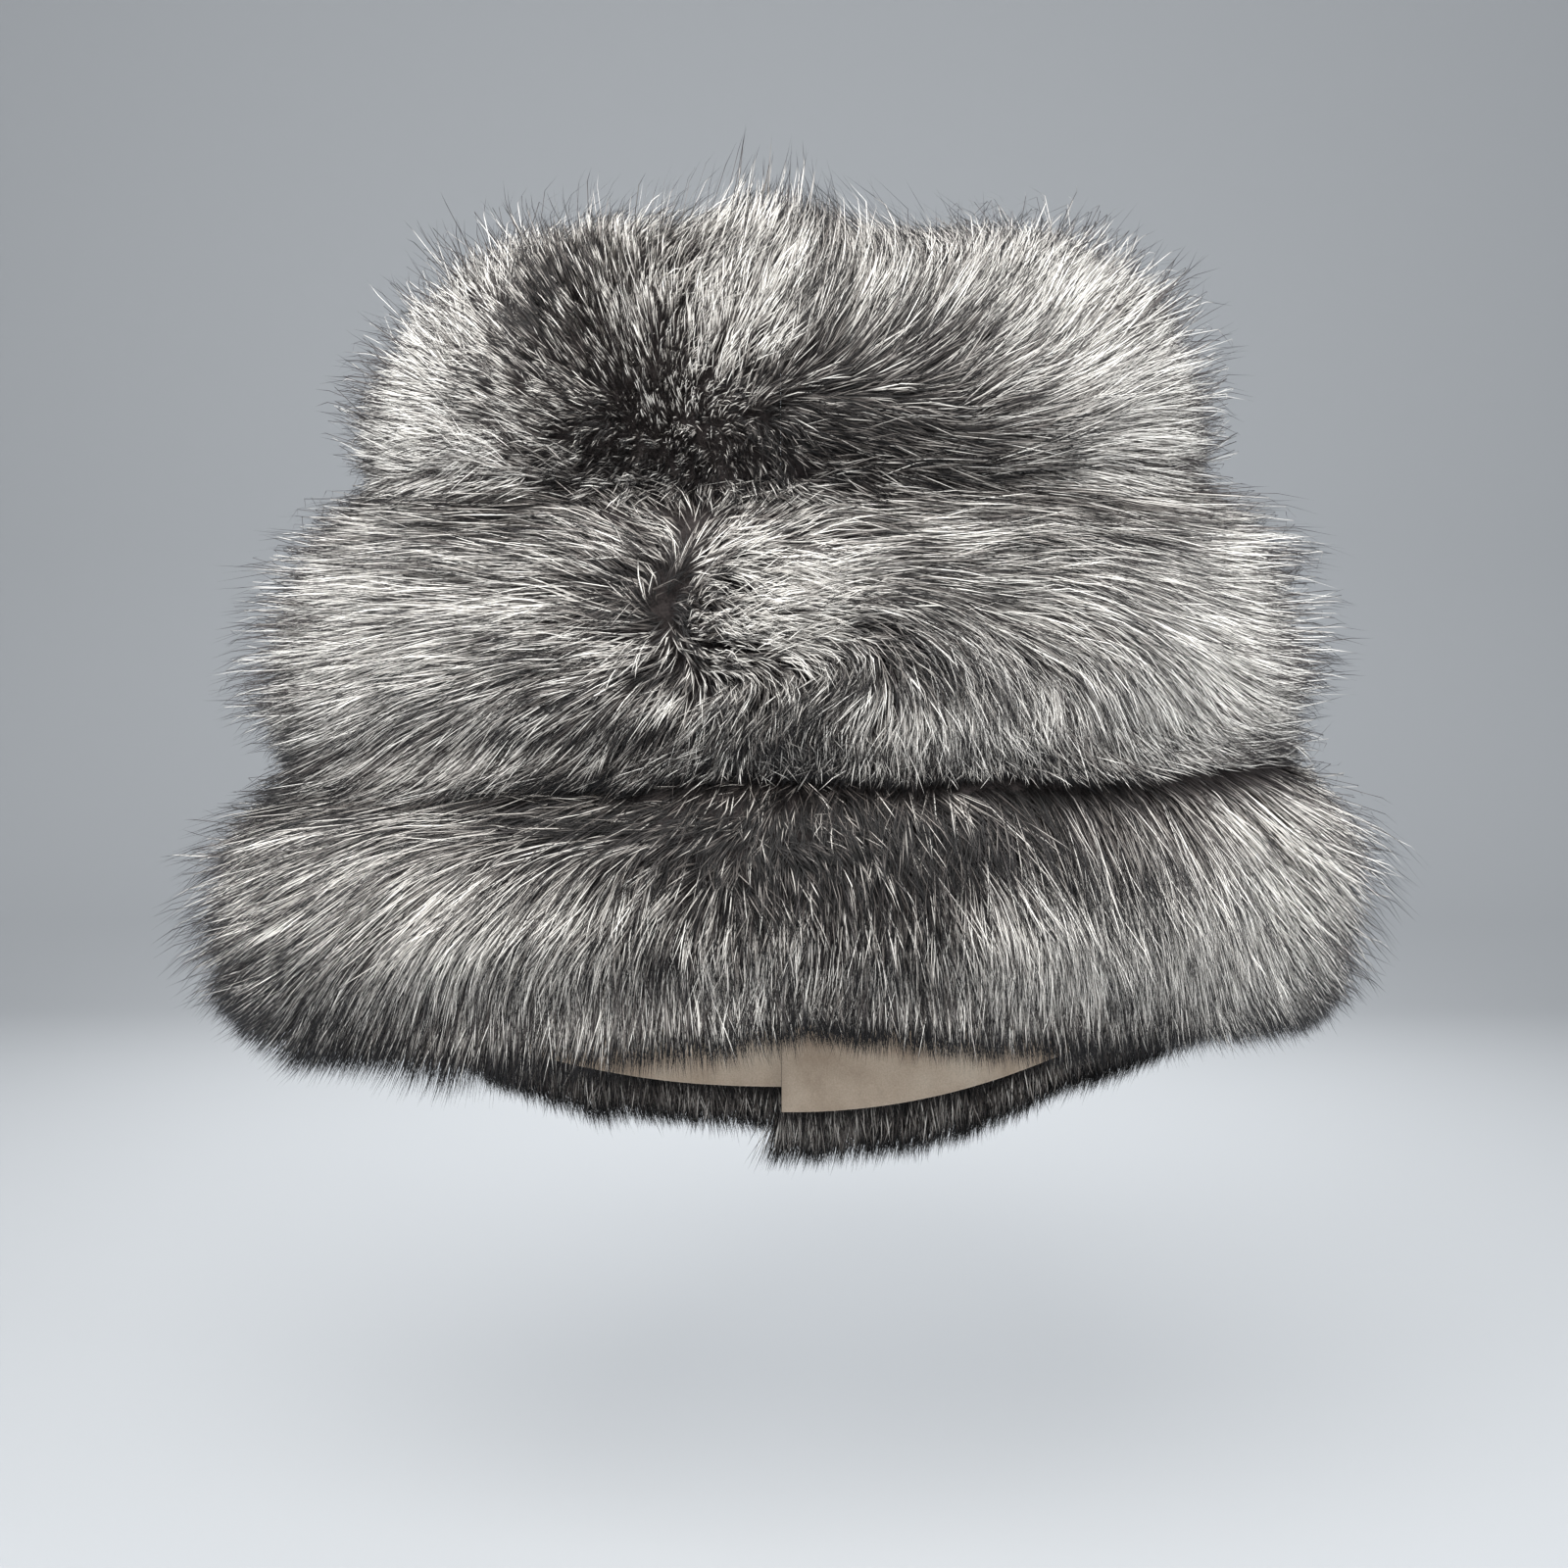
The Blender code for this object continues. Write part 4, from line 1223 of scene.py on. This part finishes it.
# ---------------------------------------------------------------- put together
suede = skin_material()
wool = undercoat_material()
coats = [hair_material("fox_hair_" + name, warm) for name, warm in zip(ROWS, (0.3, 0.5, 1.0))]
for row, name in enumerate(ROWS):
    comb = Combing(row)
    for n, (side, word) in enumerate(((1, "left"), (-1, "right"))):
        rng = np.random.default_rng(1000 * row + 10 * n + 5)
        budget = TRIANGLES[row] * 1.0
        guard = int(budget * 0.72 / 4)
        woolly = int(budget * 0.24 / 2)
        fringe = int(budget * (0.09, 0.0, 0.04)[row] / 2)
        woolly += int(budget * 0.04 / 2) - fringe
        parts = []
        for layer, count, points, long_share, high, width in (
            ("under", woolly, (0.0, 0.5, 1.0), 0.070, 0.62, 0.00120),
            ("guard", guard, (0.0, 0.36, 0.70, 1.0), 0.092, 0.77, 0.00067),
            ("edge", fringe, (0.0, 0.5, 1.0), 0.060 if row else 0.050, 0.60, 0.00090),
        ):
            if not count:
                continue
            q0, a0 = roots(row, side, count, rng)
            if layer == "edge":
                a0 = 1.0 - 0.10 * a0 if row else 0.12 * a0
                if row == 0:
                    q0 = side * ((np.arange(count) + rng.random(count)) / count) ** 0.8
            C, T, N, s, look = strand_paths(row, side, q0, a0, comb, rng, points, long_share, high, layer)
            kind, tone = hair_look(look, layer, rng)
            width = width * (0.75 + 0.5 * rng.random(count)) * 1.0
            width = np.where(look["stray"], 0.72 * width, width)
            roll = rng.normal(0, 0.45, count)
            parts.append(blades(C, T, N, s, width, roll, kind, tone))
        hair = mesh_of(f"hair_{name}_{word}", parts, coats[row])
        base = undercoat(row, side, wool)
        strip = pelt(row, side, suede)
        for obj in (hair, base):
            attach(obj, "root")
            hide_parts(f"fur_{name}_{word}")
        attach(strip, "root")
        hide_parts(f"pelt_{name}_{word}")

# ---------------------------------------------------------------- stage
scene = bpy.context.scene


def stage():
    """A pale floor that sweeps up behind, well clear of the hem."""
    floor = -1.08
    near, far, bend, top = 9.0, -2.6, 1.2, 4.2
    profile = [(near, floor)]
    for k in range(25):
        a = math.pi / 2 * k / 24
        profile.append((far - bend * math.sin(a), floor + bend * (1 - math.cos(a))))
    profile.append((far - bend, top))
    verts, faces = [], []
    for y, z in profile:
        verts += [(-9.0, y, z), (9.0, y, z)]
    for k in range(len(profile) - 1):
        a = 2 * k
        faces.append((a, a + 1, a + 3, a + 2))
    mesh = bpy.data.meshes.new("stage_floor")
    mesh.from_pydata(verts, [], faces)
    mesh.shade_smooth()
    m = bpy.data.materials.new("stage_pale")
    m.use_nodes = True
    bsdf = m.node_tree.nodes["Principled BSDF"]
    bsdf.inputs["Base Color"].default_value = (0.40, 0.415, 0.43, 1.0)
    bsdf.inputs["Roughness"].default_value = 0.9
    bsdf.inputs["Specular IOR Level"].default_value = 0.1
    mesh.materials.append(m)
    obj = bpy.data.objects.new("stage_floor", mesh)
    scene.collection.objects.link(obj)


def area_light(name, place, aim, size, power, colour=(1.0, 1.0, 1.0)):
    data = bpy.data.lights.new(name, "AREA")
    data.shape = "RECTANGLE"
    data.size, data.size_y = size
    data.energy = power
    data.color = colour
    obj = bpy.data.objects.new(name, data)
    obj.location = place
    obj.rotation_euler = (Vector(aim) - Vector(place)).to_track_quat("-Z", "Y").to_euler()
    scene.collection.objects.link(obj)


stage()
area_light("key", (0.35, 2.4, 1.7), (0.0, 0.0, -0.3), (2.4, 1.2), 118.0, (1.0, 0.985, 0.96))
area_light("left_soft", (2.2, 1.3, 0.5), (0.0, 0.0, -0.35), (1.2, 1.6), 45.0, (0.97, 0.985, 1.0))
area_light("right_soft", (-2.2, 1.3, 0.5), (0.0, 0.0, -0.35), (1.2, 1.6), 57.0, (0.97, 0.985, 1.0))
area_light("front_soft", (0.0, -2.4, 0.7), (0.0, 0.0, -0.40), (2.2, 1.4), 62.0)
world = bpy.data.worlds.new("soft_room")
world.use_nodes = True
world.node_tree.nodes["Background"].inputs["Color"].default_value = (0.92, 0.95, 1.0, 1.0)
world.node_tree.nodes["Background"].inputs["Strength"].default_value = 0.58
scene.world = world

camera = bpy.data.cameras.new("camera")
camera.lens = 38.25
camera.sensor_width = 36.0
camera.sensor_fit = "HORIZONTAL"
camera.clip_start = 0.05
eye = bpy.data.objects.new("camera", camera)
eye.location = (-0.0023, 1.31, -0.285)
eye.rotation_euler = (math.radians(90 - 3.7), 0.0, math.radians(180))
scene.collection.objects.link(eye)
scene.camera = eye
scene.view_settings.view_transform = "Standard"

bpy.context.view_layer.update()
